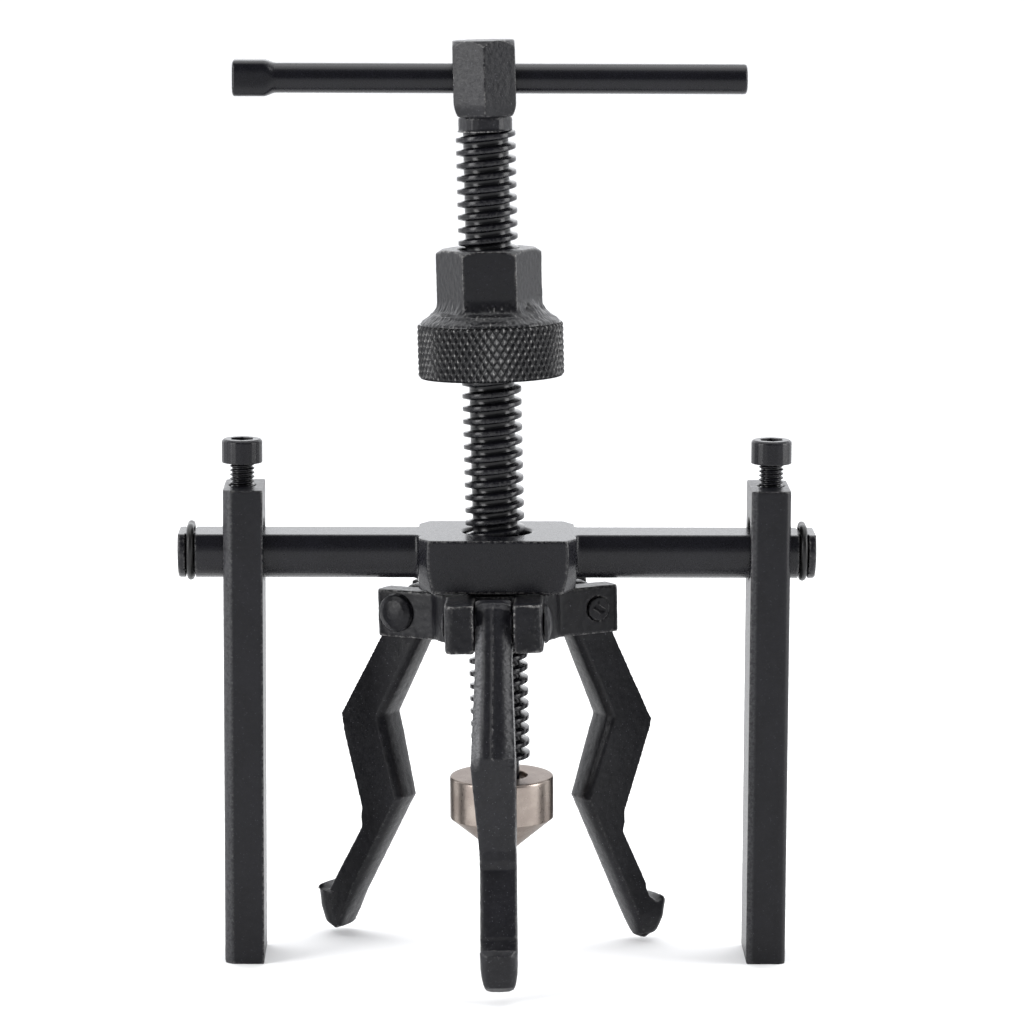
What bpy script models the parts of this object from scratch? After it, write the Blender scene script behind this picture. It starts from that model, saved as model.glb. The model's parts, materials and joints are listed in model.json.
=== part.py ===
"""Bridge puller with three outward-hooked jaws, for drawing a pilot bearing or a bush out of its bore.

A forcing screw runs down through a loose hole in a cross beam that stands on two legs. A carrier threaded
on the screw holds three riveted jaws, a cone turning on the screw's tip spreads them, and a knurled nut
turned down on to the beam draws the screw, the carrier and the jaws upwards.

Metres, +Z up. The floor is z = 0, x = 0 is the middle of the beam, and the origin lies under the middle of
the whole tool's plan. The screw leans a little in its loose hole, so all that it carries hangs on an empty
that leans with it; heights on that empty are counted from the beam's axis.
"""

import math

import bmesh
import bpy
from mathutils import Vector

MM = 0.001
GAP = 0.3 * MM                        # free space left between touching pieces

# Where things stand
AXIS_Y = 10.35 * MM                   # the beam's axis, behind the middle of the tool's plan
BEAM_Z = 98.75 * MM                   # height of the beam's axis
SCREW_X = -0.3 * MM                   # the screw's axis where it passes the beam's axis
SCREW_LEAN = math.radians(-1.59)      # the screw's top leans towards -X
SCREW_BACK_LEAN = math.radians(1.5)   # and a little towards +Y

# Beam: a turned bar, milled flat on top over its whole length and on its middle block's other sides
BEAM_LENGTH = 150.0 * MM
ARM_RADIUS = 7.15 * MM
FLAT_HEIGHT = 3.95 * MM               # top flat above the beam's axis
BLOCK_HALF_LENGTH = 18.4 * MM
BLOCK_HALF_DEPTH = 15.0 * MM
BLOCK_DROP = 8.7 * MM                 # underside of the block below the beam's axis
BLOCK_BARREL_RADIUS = 17.6 * MM       # turned size before milling
BLOCK_END_RADIUS = 11.6 * MM          # where the ends' chamfer starts
BLOCK_CHAMFER = math.radians(30)
ARM_FILLET = 1.1 * MM
BEAM_HOLE_RADIUS = 8.1 * MM
GROOVE_RADIUS = 5.8 * MM
GROOVE_HALF_WIDTH = 1.1 * MM
GROOVE_X = 72.1 * MM

# Rubber rings that keep the legs on the beam
RING_WIRE_RADIUS = 0.85 * MM
RING_PATH_RADIUS = 7.05 * MM
RING_PATH_TOP = 5.0 * MM              # the ring is drawn flat over the beam's top

# Legs: flat bars with a cross hole for the arm, and a tapped hole above it for the clamp screw
LEG_X = {"left": -59.6 * MM, "right": 64.15 * MM}
LEG_WIDTH = 9.4 * MM
LEG_DEPTH = 19.0 * MM
LEG_HEIGHT = 113.6 * MM
LEG_EDGE = 1.9 * MM                   # rounding of the outer upright edges
LEG_HOLE_RADIUS = 7.6 * MM
LEG_HOLE_Z = 98.45 * MM

# Clamp screws: M6 x 16 socket head cap screws
CLAMP_OFFSET = 0.4 * MM               # the tapped hole is this far outwards of the leg's middle
CLAMP_RADIUS = 2.95 * MM
CLAMP_LENGTH = 16.0 * MM
CLAMP_HEAD_RADIUS = 4.8 * MM
CLAMP_HEAD_HEIGHT = 5.6 * MM
CLAMP_SOCKET_AF = 5.0 * MM
CLAMP_SOCKET_DEPTH = 3.2 * MM
CLAMP_TIP_Z = 103.0 * MM

# Forcing screw: trapezoidal thread 14 x 3, six-sided head with a cross hole
THREAD_RADIUS = 7.0 * MM
THREAD_CORE = 5.35 * MM
THREAD_PITCH = 3.0 * MM
THREAD_ROOT_WIDTH = 1.25 * MM
THREAD_CREST_WIDTH = 0.85 * MM
THREAD_BOTTOM_Z = 48.45 * MM
THREAD_TOP_Z = 197.1 * MM
THREAD_STEPS = 12
COLLAR_RADIUS = 6.3 * MM
HEAD_BOTTOM_Z = 200.3 * MM
HEAD_TOP_Z = 218.0 * MM
HEAD_AF = 14.4 * MM
HEAD_CHAMFER = 1.2 * MM
BAR_HOLE_RADIUS = 4.0 * MM
BAR_Z = 209.1 * MM
NECK_RADIUS = 4.4 * MM
NECK_TIP_Z = 36.35 * MM

# Tommy bar, with one end upset
BAR_RADIUS = 3.5 * MM
BAR_LEFT = 58.6 * MM
BAR_RIGHT = 61.3 * MM
BAR_UPSET_RADIUS = 4.25 * MM
BAR_UPSET_LENGTH = 7.6 * MM
BAR_UPSET_TAPER = 2.6 * MM

# Nut: a hexagon on a knurled flange
NUT_AF = 21.6 * MM
NUT_TOP_Z = 169.5 * MM
NUT_FLANGE_TOP_Z = 152.0 * MM
NUT_BOTTOM_Z = 139.5 * MM
NUT_FLANGE_RADIUS = 17.2 * MM
NUT_SHOULDER_RADIUS = 12.9 * MM
NUT_SHOULDER_Z = 154.6 * MM
NUT_BORE_RADIUS = THREAD_RADIUS + GAP

# Jaw carrier: a threaded hub with three forks
CARRIER_BOTTOM_Z = 77.6 * MM
CARRIER_HEIGHT = 11.3 * MM
CARRIER_BORE_RADIUS = THREAD_RADIUS + GAP
HUB_RADIUS = 15.6 * MM
FORK_REACH = 27.0 * MM
FORK_HALF_WIDTH = 11.4 * MM
FORK_CORNER = 1.6 * MM
SLOT_HALF_WIDTH = 4.6 * MM
SLOT_FLOOR = 13.0 * MM
FORK_TURN = math.radians(-2.5)        # the forks stand a little clockwise of square to the beam
FORKS = {"front": -90.0, "right": 30.0, "left": 150.0}

# Rivets through the forks
PIVOT_R = 20.9 * MM
PIVOT_Z = 83.6 * MM
RIVET_RADIUS = 2.5 * MM
RIVET_HEAD_RADIUS = 4.7 * MM
RIVET_HEAD_HEIGHT = 1.8 * MM
RIVET_TAIL_RADIUS = 2.9 * MM
RIVET_TAIL_HEIGHT = 0.4 * MM

# Jaws: flat forgings, drawn from the pivot, x outwards and y upwards
JAW_HALF_THICKNESS = 4.25 * MM
JAW_HEAD_RADIUS = 4.95 * MM
JAW_HEAD_ARC = (206, 27)              # degrees, from the inner side over the top to the outer side
JAW_OUTER = ((19.9, -28.0), (13.4, -50.6), (13.6, -53.2), (13.2, -55.3), (22.3, -72.7), (24.8, -71.45))
JAW_HOOK_FACE = ((26.1, -72.8), (25.4, -77.0), (24.0, -80.6), (20.8, -82.3))
JAW_INNER = ((19.3, -81.7), (1.9, -46.8), (7.6, -27.3))
JAW_ROUND_EDGE = 1.3 * MM             # along the inner side and the hook's face
JAW_OPENING = {"front": 0.0, "right": -3.3, "left": 3.8}    # degrees outwards of the mean pose

# Cone on the screw's tip, and the wire ring that keeps it there
CONE_RADIUS = 12.3 * MM
CONE_TOP_Z = 44.25 * MM
CONE_SIDE_BOTTOM_Z = 34.15 * MM
CONE_TIP_Z = 24.65 * MM
CONE_TIP_RADIUS = 1.2 * MM
CONE_EDGE = 0.5 * MM
CONE_MOUTH_RADIUS = 6.2 * MM
CONE_MOUTH_FLOOR_Z = 42.85 * MM
CONE_BORE_RADIUS = NECK_RADIUS + GAP
KEEPER_Z = 39.65 * MM
KEEPER_WIRE_RADIUS = 0.6 * MM
KEEPER_PATH_RADIUS = 4.8 * MM

ROUND_STEPS = 32


def clear_scene():
    for obj in list(bpy.data.objects):
        bpy.data.objects.remove(obj, do_unlink=True)


def new_collection(name):
    collection = bpy.data.collections.new(name)
    bpy.context.scene.collection.children.link(collection)
    return collection


def new_material(name, colour, roughness, metallic):
    material = bpy.data.materials.new(name)
    material.use_nodes = True
    shader = material.node_tree.nodes["Principled BSDF"]
    shader.inputs["Base Color"].default_value = (*colour, 1.0)
    shader.inputs["Roughness"].default_value = roughness
    shader.inputs["Metallic"].default_value = metallic
    return material


def new_object(name, data, collection, parent=None, location=(0, 0, 0), rotation=(0, 0, 0)):
    obj = bpy.data.objects.new(name, data)
    collection.objects.link(obj)
    obj.parent = parent
    obj.location = location
    obj.rotation_euler = rotation
    return obj


def new_empty(name, parent=None, location=(0, 0, 0), rotation=(0, 0, 0)):
    return new_object(name, None, GUIDES, parent, location, rotation)


def finish(obj, material):
    """Give a piece its material and shade its round faces smooth."""
    obj.data.materials.clear()
    obj.data.materials.append(material)
    obj.data.shade_smooth()
    obj.data.set_sharp_from_angle(angle=math.radians(32))
    return obj


def as_cutter(obj):
    """Move a helper solid out of the model, where only the Boolean modifiers see it."""
    for collection in list(obj.users_collection):
        collection.objects.unlink(obj)
    CUTTERS.objects.link(obj)
    obj.hide_render = True
    obj.display_type = 'WIRE'
    return obj


def combine(target, other, operation):
    """Cut, join or trim one solid with another, which becomes a cutter."""
    modifier = target.modifiers.new(operation.lower(), 'BOOLEAN')
    modifier.operation = operation
    modifier.solver = 'EXACT'
    modifier.object = as_cutter(other)


def turned(name, profile, parent=None, location=(0, 0, 0), rotation=(0, 0, 0), steps=ROUND_STEPS,
           closed=False):
    """Turn a profile of (radius, height) about Z. It runs down its outer side, top to bottom."""
    mesh = bpy.data.meshes.new(name)
    edges = [(i, i + 1) for i in range(len(profile) - 1)]
    if closed:
        edges.append((len(profile) - 1, 0))
    mesh.from_pydata([(radius, 0, height) for radius, height in profile], edges, [])
    obj = new_object(name, mesh, PARTS, parent, location, rotation)
    screw = obj.modifiers.new("turn", 'SCREW')
    screw.steps = screw.render_steps = steps
    screw.use_merge_vertices = True
    screw.merge_threshold = 0.01 * MM
    return obj


def prism(name, across_flats, bottom, top, parent=None, location=(0, 0, 0), turn=0.0):
    """A six-sided bar along Z, with its corners towards +Y and -Y when it is not turned."""
    bm = bmesh.new()
    corner = across_flats / math.sqrt(3)
    bmesh.ops.create_cone(bm, cap_ends=True, segments=6, radius1=corner, radius2=corner, depth=top - bottom)
    bmesh.ops.translate(bm, verts=bm.verts, vec=(0, 0, (top + bottom) / 2))
    mesh = bpy.data.meshes.new(name)
    bm.to_mesh(mesh)
    bm.free()
    return new_object(name, mesh, PARTS, parent, location, (0, 0, turn))


def box(name, low, high, parent=None, location=(0, 0, 0), rotation=(0, 0, 0)):
    bm = bmesh.new()
    bmesh.ops.create_cube(bm, size=1.0)
    for axis in range(3):
        for vert in bm.verts:
            vert.co[axis] = low[axis] if vert.co[axis] < 0 else high[axis]
    mesh = bpy.data.meshes.new(name)
    bm.to_mesh(mesh)
    bm.free()
    return new_object(name, mesh, PARTS, parent, location, rotation)


def curve_to_mesh(curve_object):
    """Replace a curve with its closed mesh."""
    bpy.context.view_layer.update()
    evaluated = curve_object.evaluated_get(bpy.context.evaluated_depsgraph_get())
    mesh = bpy.data.meshes.new_from_object(evaluated)
    bm = bmesh.new()
    bm.from_mesh(mesh)
    bmesh.ops.remove_doubles(bm, verts=bm.verts, dist=0.001 * MM)
    bm.to_mesh(mesh)
    bm.free()
    name, parent = curve_object.name, curve_object.parent
    location, rotation = curve_object.location.copy(), curve_object.rotation_euler.copy()
    bpy.data.objects.remove(curve_object, do_unlink=True)
    return new_object(name, mesh, PARTS, parent, location, rotation)


def outline(name, loops, half_thickness, parent=None, location=(0, 0, 0), rotation=(0, 0, 0)):
    """A flat plate in the local XY plane; the first loop is its edge and the others are holes."""
    curve = bpy.data.curves.new(name, 'CURVE')
    curve.dimensions = '2D'
    curve.fill_mode = 'BOTH'
    curve.extrude = half_thickness
    for points in loops:
        spline = curve.splines.new('POLY')
        spline.points.add(len(points) - 1)
        for point, (x, y) in zip(spline.points, points):
            point.co = (x, y, 0, 1)
        spline.use_cyclic_u = True
    return curve_to_mesh(new_object(name, curve, PARTS, parent, location, rotation))


def tube_ring(name, points, wire_radius, parent=None, location=(0, 0, 0), rotation=(0, 0, 0)):
    """A closed wire along a loop of points."""
    curve = bpy.data.curves.new(name, 'CURVE')
    curve.dimensions = '3D'
    curve.bevel_depth = wire_radius
    curve.bevel_resolution = 1
    spline = curve.splines.new('POLY')
    spline.points.add(len(points) - 1)
    for point, co in zip(spline.points, points):
        point.co = (*co, 1)
    spline.use_cyclic_u = True
    return curve_to_mesh(new_object(name, curve, PARTS, parent, location, rotation))


def arc(radius, start, end, count, centre=(0.0, 0.0)):
    """Points on an arc, its angles in degrees, both ends included."""
    angles = [math.radians(start + (end - start) * i / (count - 1)) for i in range(count)]
    return [(centre[0] + radius * math.cos(a), centre[1] + radius * math.sin(a)) for a in angles]


def on_screw(z):
    """A height above the floor, as a height on the leaning empty."""
    return z - BEAM_Z


def make_beam():
    chamfer_run = (BLOCK_BARREL_RADIUS - BLOCK_END_RADIUS) * math.tan(BLOCK_CHAMFER)
    fillet = [(ARM_RADIUS + ARM_FILLET * (1 - math.cos(a)), BLOCK_HALF_LENGTH + ARM_FILLET * (1 - math.sin(a)))
              for a in (math.radians(d) for d in (0, 30, 60, 90))]
    end = BEAM_LENGTH / 2
    half = [
        (0, end), (ARM_RADIUS - GAP, end), (ARM_RADIUS, end - GAP),
        (ARM_RADIUS, GROOVE_X + GROOVE_HALF_WIDTH), (GROOVE_RADIUS, GROOVE_X + GROOVE_HALF_WIDTH),
        (GROOVE_RADIUS, GROOVE_X - GROOVE_HALF_WIDTH), (ARM_RADIUS, GROOVE_X - GROOVE_HALF_WIDTH),
        *fillet, (BLOCK_END_RADIUS, BLOCK_HALF_LENGTH),
        (BLOCK_BARREL_RADIUS, BLOCK_HALF_LENGTH - chamfer_run),
    ]
    profile = half + [(radius, -height) for radius, height in reversed(half)]
    centre = (0, AXIS_Y, BEAM_Z)
    beam = turned("beam", profile, location=centre, rotation=(0, math.pi / 2, 0), steps=36)
    milled = box("milled_section", (-end - MM, -BLOCK_HALF_DEPTH, -BLOCK_DROP),
                 (end + MM, BLOCK_HALF_DEPTH, FLAT_HEIGHT), location=centre)
    combine(beam, milled, 'INTERSECT')
    mouth = 0.4 * MM
    hole_profile = [(0, FLAT_HEIGHT + mouth), (BEAM_HOLE_RADIUS + 2 * mouth, FLAT_HEIGHT + mouth),
                    (BEAM_HOLE_RADIUS, FLAT_HEIGHT - mouth), (BEAM_HOLE_RADIUS, -BLOCK_DROP - MM),
                    (0, -BLOCK_DROP - MM)]
    combine(beam, turned("beam_hole", hole_profile, location=centre), 'DIFFERENCE')
    finish(beam, BLACK_STEEL)


def make_rings():
    """Rubber rings in the beam's grooves, round below and drawn flatter over the milled top."""
    count = 28
    for side, sign in (("left", -1), ("right", 1)):
        points = []
        for i in range(count):
            angle = 2 * math.pi * i / count
            pull = max(0.0, math.sin(angle)) ** 4
            radius = RING_PATH_RADIUS + (RING_PATH_TOP - RING_PATH_RADIUS) * pull
            points.append((0, radius * math.cos(angle), radius * math.sin(angle)))
        ring = tube_ring(f"ring_{side}", points, RING_WIRE_RADIUS, location=(sign * GROOVE_X, AXIS_Y, BEAM_Z))
        finish(ring, RUBBER)


def make_leg(side, sign):
    hole_centre = (LEG_X[side], AXIS_Y, LEG_HOLE_Z)
    tapped_centre = (LEG_X[side] + sign * CLAMP_OFFSET, AXIS_Y, LEG_HOLE_Z)
    leg = box(f"leg_{side}", (-LEG_WIDTH / 2, -LEG_DEPTH / 2, -LEG_HOLE_Z),
              (LEG_WIDTH / 2, LEG_DEPTH / 2, LEG_HEIGHT - LEG_HOLE_Z), location=hole_centre)
    bm = bmesh.new()
    bm.from_mesh(leg.data)
    outer_edges = [edge for edge in bm.edges
                   if all(vert.co.x * sign > 0 for vert in edge.verts)
                   and abs(edge.verts[0].co.z - edge.verts[1].co.z) > LEG_DEPTH]
    bmesh.ops.bevel(bm, geom=outer_edges, offset=LEG_EDGE, segments=3, profile=0.5, affect='EDGES')
    bm.to_mesh(leg.data)
    bm.free()
    cross = LEG_WIDTH / 2 + MM
    combine(leg, turned(f"leg_hole_{side}", [(0, cross), (LEG_HOLE_RADIUS, cross), (LEG_HOLE_RADIUS, -cross),
                                             (0, -cross)], location=hole_centre,
                        rotation=(0, math.pi / 2, 0)), 'DIFFERENCE')
    radius = CLAMP_RADIUS + GAP
    combine(leg, turned(f"tapped_hole_{side}", [(0, LEG_HEIGHT - LEG_HOLE_Z + MM),
                                                (radius, LEG_HEIGHT - LEG_HOLE_Z + MM), (radius, 0), (0, 0)],
                        location=tapped_centre, steps=16), 'DIFFERENCE')
    finish(leg, BLACK_STEEL)


def make_clamp_screw(side, sign):
    head_base = CLAMP_LENGTH
    head_top = CLAMP_LENGTH + CLAMP_HEAD_HEIGHT
    edge = 0.5 * MM
    tip = 0.7 * MM
    profile = [(0, head_top), (CLAMP_HEAD_RADIUS - edge, head_top), (CLAMP_HEAD_RADIUS, head_top - edge),
               (CLAMP_HEAD_RADIUS, head_base), (CLAMP_RADIUS, head_base), (CLAMP_RADIUS, tip),
               (CLAMP_RADIUS - tip, 0), (0, 0)]
    place = (LEG_X[side] + sign * CLAMP_OFFSET, AXIS_Y, CLAMP_TIP_Z)
    screw = turned(f"clamp_screw_{side}", profile, location=place, steps=24)
    combine(screw, prism(f"socket_{side}", CLAMP_SOCKET_AF, head_top - CLAMP_SOCKET_DEPTH, head_top + MM,
                         location=place), 'DIFFERENCE')
    finish(screw, BLACK_STEEL)


def make_thread(name, bottom, top, parent):
    """The threaded rod: one pitch of the profile wound up as a helicoid, then cut square at both ends."""
    flank = (THREAD_PITCH - THREAD_ROOT_WIDTH - THREAD_CREST_WIDTH) / 2
    levels = [(THREAD_CORE, THREAD_PITCH), (THREAD_CORE, THREAD_PITCH - THREAD_ROOT_WIDTH),
              (THREAD_RADIUS, THREAD_CREST_WIDTH + flank), (THREAD_RADIUS, flank), (THREAD_CORE, 0)]
    mesh = bpy.data.meshes.new(name)
    mesh.from_pydata([(radius, 0, height) for radius, height in levels],
                     [(i, i + 1) for i in range(len(levels) - 1)], [])
    helix = new_object(name, mesh, PARTS)
    screw = helix.modifiers.new("wind", 'SCREW')
    screw.steps = screw.render_steps = THREAD_STEPS
    screw.screw_offset = THREAD_PITCH
    screw.iterations = math.ceil((top - bottom) / THREAD_PITCH) + 3
    bpy.context.view_layer.update()
    wound = bpy.data.meshes.new_from_object(helix.evaluated_get(bpy.context.evaluated_depsgraph_get()))
    bpy.data.objects.remove(helix, do_unlink=True)
    bm = bmesh.new()
    bm.from_mesh(wound)
    bmesh.ops.remove_doubles(bm, verts=bm.verts, dist=0.001 * MM)
    bmesh.ops.translate(bm, verts=bm.verts, vec=(0, 0, bottom - 1.5 * THREAD_PITCH))
    for height, direction in ((bottom, -1), (top, 1)):
        everything = bm.verts[:] + bm.edges[:] + bm.faces[:]
        bmesh.ops.bisect_plane(bm, geom=everything, plane_co=(0, 0, height), plane_no=(0, 0, direction),
                               clear_outer=True)
        rim = [edge for edge in bm.edges
               if edge.is_boundary and all(abs(vert.co.z - height) < GAP for vert in edge.verts)]
        bmesh.ops.edgeloop_fill(bm, edges=rim)
    bmesh.ops.recalc_face_normals(bm, faces=bm.faces)
    bm.to_mesh(wound)
    bm.free()
    return new_object(name, wound, PARTS, parent)


def make_forcing_screw(lean):
    thread_bottom, thread_top = on_screw(THREAD_BOTTOM_Z), on_screw(THREAD_TOP_Z)
    screw = make_thread("forcing_screw", thread_bottom, thread_top, lean)
    head_bottom, head_top = on_screw(HEAD_BOTTOM_Z), on_screw(HEAD_TOP_Z)
    head = prism("head", HEAD_AF, head_bottom, head_top, parent=lean)
    corner = HEAD_AF / math.sqrt(3)
    trim = [(0, head_top + MM), (corner - HEAD_CHAMFER - 2 * MM, head_top + MM),
            (corner + MM, head_top - HEAD_CHAMFER), (corner + MM, head_bottom - MM), (0, head_bottom - MM)]
    combine(head, turned("head_trim", trim, parent=lean), 'INTERSECT')
    bore = HEAD_AF
    combine(head, turned("bar_hole", [(0, bore), (BAR_HOLE_RADIUS, bore), (BAR_HOLE_RADIUS, -bore), (0, -bore)],
                         parent=lean, location=(0, 0, on_screw(BAR_Z)), rotation=(0, math.pi / 2, 0), steps=24),
            'DIFFERENCE')
    lap = 1.0 * MM
    collar = turned("collar", [(0, head_bottom + lap), (COLLAR_RADIUS, head_bottom + lap),
                               (COLLAR_RADIUS, thread_top - 0.2 * MM), (THREAD_CORE - lap, thread_top - lap),
                               (0, thread_top - lap)], parent=lean, steps=24)
    tip = on_screw(NECK_TIP_Z)
    groove = on_screw(KEEPER_Z)
    groove_half = KEEPER_WIRE_RADIUS + GAP
    groove_radius = KEEPER_PATH_RADIUS - groove_half
    neck = turned("neck", [(0, thread_bottom + lap), (NECK_RADIUS, thread_bottom + lap),
                           (NECK_RADIUS, groove + groove_half), (groove_radius, groove + groove_half),
                           (groove_radius, groove - groove_half), (NECK_RADIUS, groove - groove_half),
                           (NECK_RADIUS, tip + lap), (NECK_RADIUS - lap, tip), (0, tip)],
                  parent=lean, steps=24)
    for piece in (neck, collar, head):
        combine(screw, piece, 'UNION')
    finish(screw, BLACK_STEEL)


def make_tommy_bar():
    """The bar lies level through the leaning head; its left end is upset so that it stops there."""
    centre = LEAN.matrix_world @ Vector((0, 0, on_screw(BAR_Z)))
    edge = 0.6 * MM
    taper_end = -BAR_LEFT + BAR_UPSET_LENGTH
    profile = [(0, BAR_RIGHT), (BAR_RADIUS - edge, BAR_RIGHT), (BAR_RADIUS, BAR_RIGHT - edge),
               (BAR_RADIUS, taper_end + BAR_UPSET_TAPER), (BAR_UPSET_RADIUS, taper_end),
               (BAR_UPSET_RADIUS, -BAR_LEFT + edge), (BAR_UPSET_RADIUS - edge, -BAR_LEFT), (0, -BAR_LEFT)]
    bar = turned("tommy_bar", profile, location=centre, rotation=(0, math.pi / 2, 0), steps=24)
    finish(bar, BLACK_STEEL)


def make_nut(lean):
    top, bottom = on_screw(NUT_TOP_Z), on_screw(NUT_BOTTOM_Z)
    flange_top, shoulder = on_screw(NUT_FLANGE_TOP_Z), on_screw(NUT_SHOULDER_Z)
    edge = 0.6 * MM
    flange = [(0, shoulder), (NUT_SHOULDER_RADIUS, shoulder), (NUT_FLANGE_RADIUS, flange_top),
              (NUT_FLANGE_RADIUS, bottom + edge), (NUT_FLANGE_RADIUS - edge, bottom), (0, bottom)]
    nut = turned("nut", flange, parent=lean, steps=48)
    hexagon = prism("nut_hexagon", NUT_AF, flange_top - MM, top, parent=lean, turn=math.radians(30))
    corner = NUT_AF / math.sqrt(3)
    chamfer = 1.6 * MM
    trim = [(0, top + MM), (corner - 2 * chamfer, top + MM), (corner + MM, top - chamfer),
            (corner + MM, flange_top - 2 * MM), (0, flange_top - 2 * MM)]
    combine(hexagon, turned("nut_trim", trim, parent=lean), 'INTERSECT')
    combine(nut, hexagon, 'UNION')
    bore = [(0, top + MM), (NUT_BORE_RADIUS, top + MM), (NUT_BORE_RADIUS, bottom - MM), (0, bottom - MM)]
    combine(nut, turned("nut_bore", bore, parent=lean), 'DIFFERENCE')
    finish(nut, BLACK_STEEL)


def fork_points(azimuth):
    """One fork's plan outline, counter-clockwise, with its slot, and the hub's arc up to the next fork."""
    root = math.sqrt(HUB_RADIUS ** 2 - FORK_HALF_WIDTH ** 2)
    corner = (FORK_REACH - FORK_CORNER, FORK_HALF_WIDTH - FORK_CORNER)
    side = [(root, FORK_HALF_WIDTH), *arc(FORK_CORNER, 90, 0, 3, corner),
            (FORK_REACH, SLOT_HALF_WIDTH), (SLOT_FLOOR, SLOT_HALF_WIDTH)]
    points = [(x, -y) for x, y in side] + list(reversed(side))
    start = math.degrees(math.atan2(FORK_HALF_WIDTH, root))
    points += arc(HUB_RADIUS, start, 120 - start, 5)[1:-1]
    cos, sin = math.cos(azimuth), math.sin(azimuth)
    return [(x * cos - y * sin, x * sin + y * cos) for x, y in points]


def make_carrier(lean):
    edge = []
    for degrees in sorted(FORKS.values()):
        edge += fork_points(math.radians(degrees) + FORK_TURN)
    bore = arc(CARRIER_BORE_RADIUS, 0, 360 - 360 / ROUND_STEPS, ROUND_STEPS)
    middle = on_screw(CARRIER_BOTTOM_Z) + CARRIER_HEIGHT / 2
    carrier = outline("carrier", [edge, bore], CARRIER_HEIGHT / 2, parent=lean, location=(0, 0, middle))
    radius, reach = RIVET_RADIUS + GAP, FORK_HALF_WIDTH + MM
    for name, pivot in PIVOTS.items():
        combine(carrier, turned(f"rivet_hole_{name}", [(0, reach), (radius, reach), (radius, -reach), (0, -reach)],
                                parent=pivot, steps=16), 'DIFFERENCE')
    finish(carrier, BLACK_STEEL)


def make_rivet(name, pivot):
    """A rivet along its pivot's axis: domed head at one side of the fork, peened tail at the other."""
    seat = FORK_HALF_WIDTH + GAP
    dome = [(RIVET_HEAD_RADIUS * math.cos(a), -seat - RIVET_HEAD_HEIGHT * math.sin(a))
            for a in (math.radians(d) for d in (0, 25, 50, 70))]
    profile = [(0, seat + RIVET_TAIL_HEIGHT), (RIVET_TAIL_RADIUS - GAP, seat + RIVET_TAIL_HEIGHT),
               (RIVET_TAIL_RADIUS, seat), (RIVET_RADIUS, seat), (RIVET_RADIUS, -seat), *dome,
               (0, -seat - RIVET_HEAD_HEIGHT)]
    finish(turned(f"rivet_{name}", profile, parent=pivot, steps=20), BLACK_STEEL)


def make_jaw(name, pivot):
    start, end = JAW_HEAD_ARC
    outer, hook_face, inner = ([(x * MM, y * MM) for x, y in points]
                               for points in (JAW_OUTER, JAW_HOOK_FACE, JAW_INNER))
    head = arc(JAW_HEAD_RADIUS, start, end, 10)
    jaw = outline(f"jaw_{name}", [head + outer + hook_face + inner], JAW_HALF_THICKNESS, parent=pivot,
                  rotation=(0, 0, math.radians(JAW_OPENING[name])))
    rounded = [Vector(point) for point in hook_face[:-1] + inner[1:] + head[:1]]
    bm = bmesh.new()
    bm.from_mesh(jaw.data)
    edges = [edge for edge in bm.edges
             if abs(edge.verts[0].co.z - edge.verts[1].co.z) < GAP
             and all(min((vert.co.xy - point).length for point in rounded) < GAP for vert in edge.verts)]
    bmesh.ops.bevel(bm, geom=edges, offset=JAW_ROUND_EDGE, segments=2, profile=0.5, affect='EDGES')
    bm.to_mesh(jaw.data)
    bm.free()
    radius, reach = RIVET_RADIUS + GAP, JAW_HALF_THICKNESS + MM
    combine(jaw, turned(f"jaw_hole_{name}", [(0, reach), (radius, reach), (radius, -reach), (0, -reach)],
                        parent=pivot, steps=16), 'DIFFERENCE')
    finish(jaw, BLACK_STEEL)


def make_cone(lean):
    top, side_bottom, tip = on_screw(CONE_TOP_Z), on_screw(CONE_SIDE_BOTTOM_Z), on_screw(CONE_TIP_Z)
    floor, groove = on_screw(NECK_TIP_Z) - GAP, on_screw(KEEPER_Z)
    groove_half = KEEPER_WIRE_RADIUS + GAP
    groove_radius = KEEPER_PATH_RADIUS + groove_half
    mouth_floor = on_screw(CONE_MOUTH_FLOOR_Z)
    profile = [(0, floor), (CONE_BORE_RADIUS, floor), (CONE_BORE_RADIUS, groove - groove_half),
               (groove_radius, groove - groove_half), (groove_radius, groove + groove_half),
               (CONE_BORE_RADIUS, groove + groove_half), (CONE_BORE_RADIUS, mouth_floor),
               (CONE_MOUTH_RADIUS, mouth_floor), (CONE_MOUTH_RADIUS, top),
               (CONE_RADIUS - CONE_EDGE, top), (CONE_RADIUS, top - CONE_EDGE), (CONE_RADIUS, side_bottom),
               (CONE_TIP_RADIUS, tip + CONE_TIP_RADIUS / 2), (0, tip)]
    finish(turned("cone", profile, parent=lean, steps=48), NICKEL)
    keeper_path = [(x, y, 0) for x, y in arc(KEEPER_PATH_RADIUS, 0, 345, 24)]
    finish(tube_ring("cone_keeper", keeper_path, KEEPER_WIRE_RADIUS, parent=lean, location=(0, 0, groove)),
           WIRE_STEEL)


clear_scene()
PARTS = new_collection("gear_puller")
CUTTERS = new_collection("cutters")
GUIDES = new_collection("guides")

BLACK_STEEL = new_material("black_steel", (0.028, 0.028, 0.032), 0.42, 0.85)
RUBBER = new_material("rubber", (0.012, 0.012, 0.013), 0.35, 0.0)
NICKEL = new_material("nickel", (0.52, 0.47, 0.42), 0.28, 1.0)
WIRE_STEEL = new_material("wire_steel", (0.30, 0.30, 0.31), 0.35, 1.0)

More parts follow.
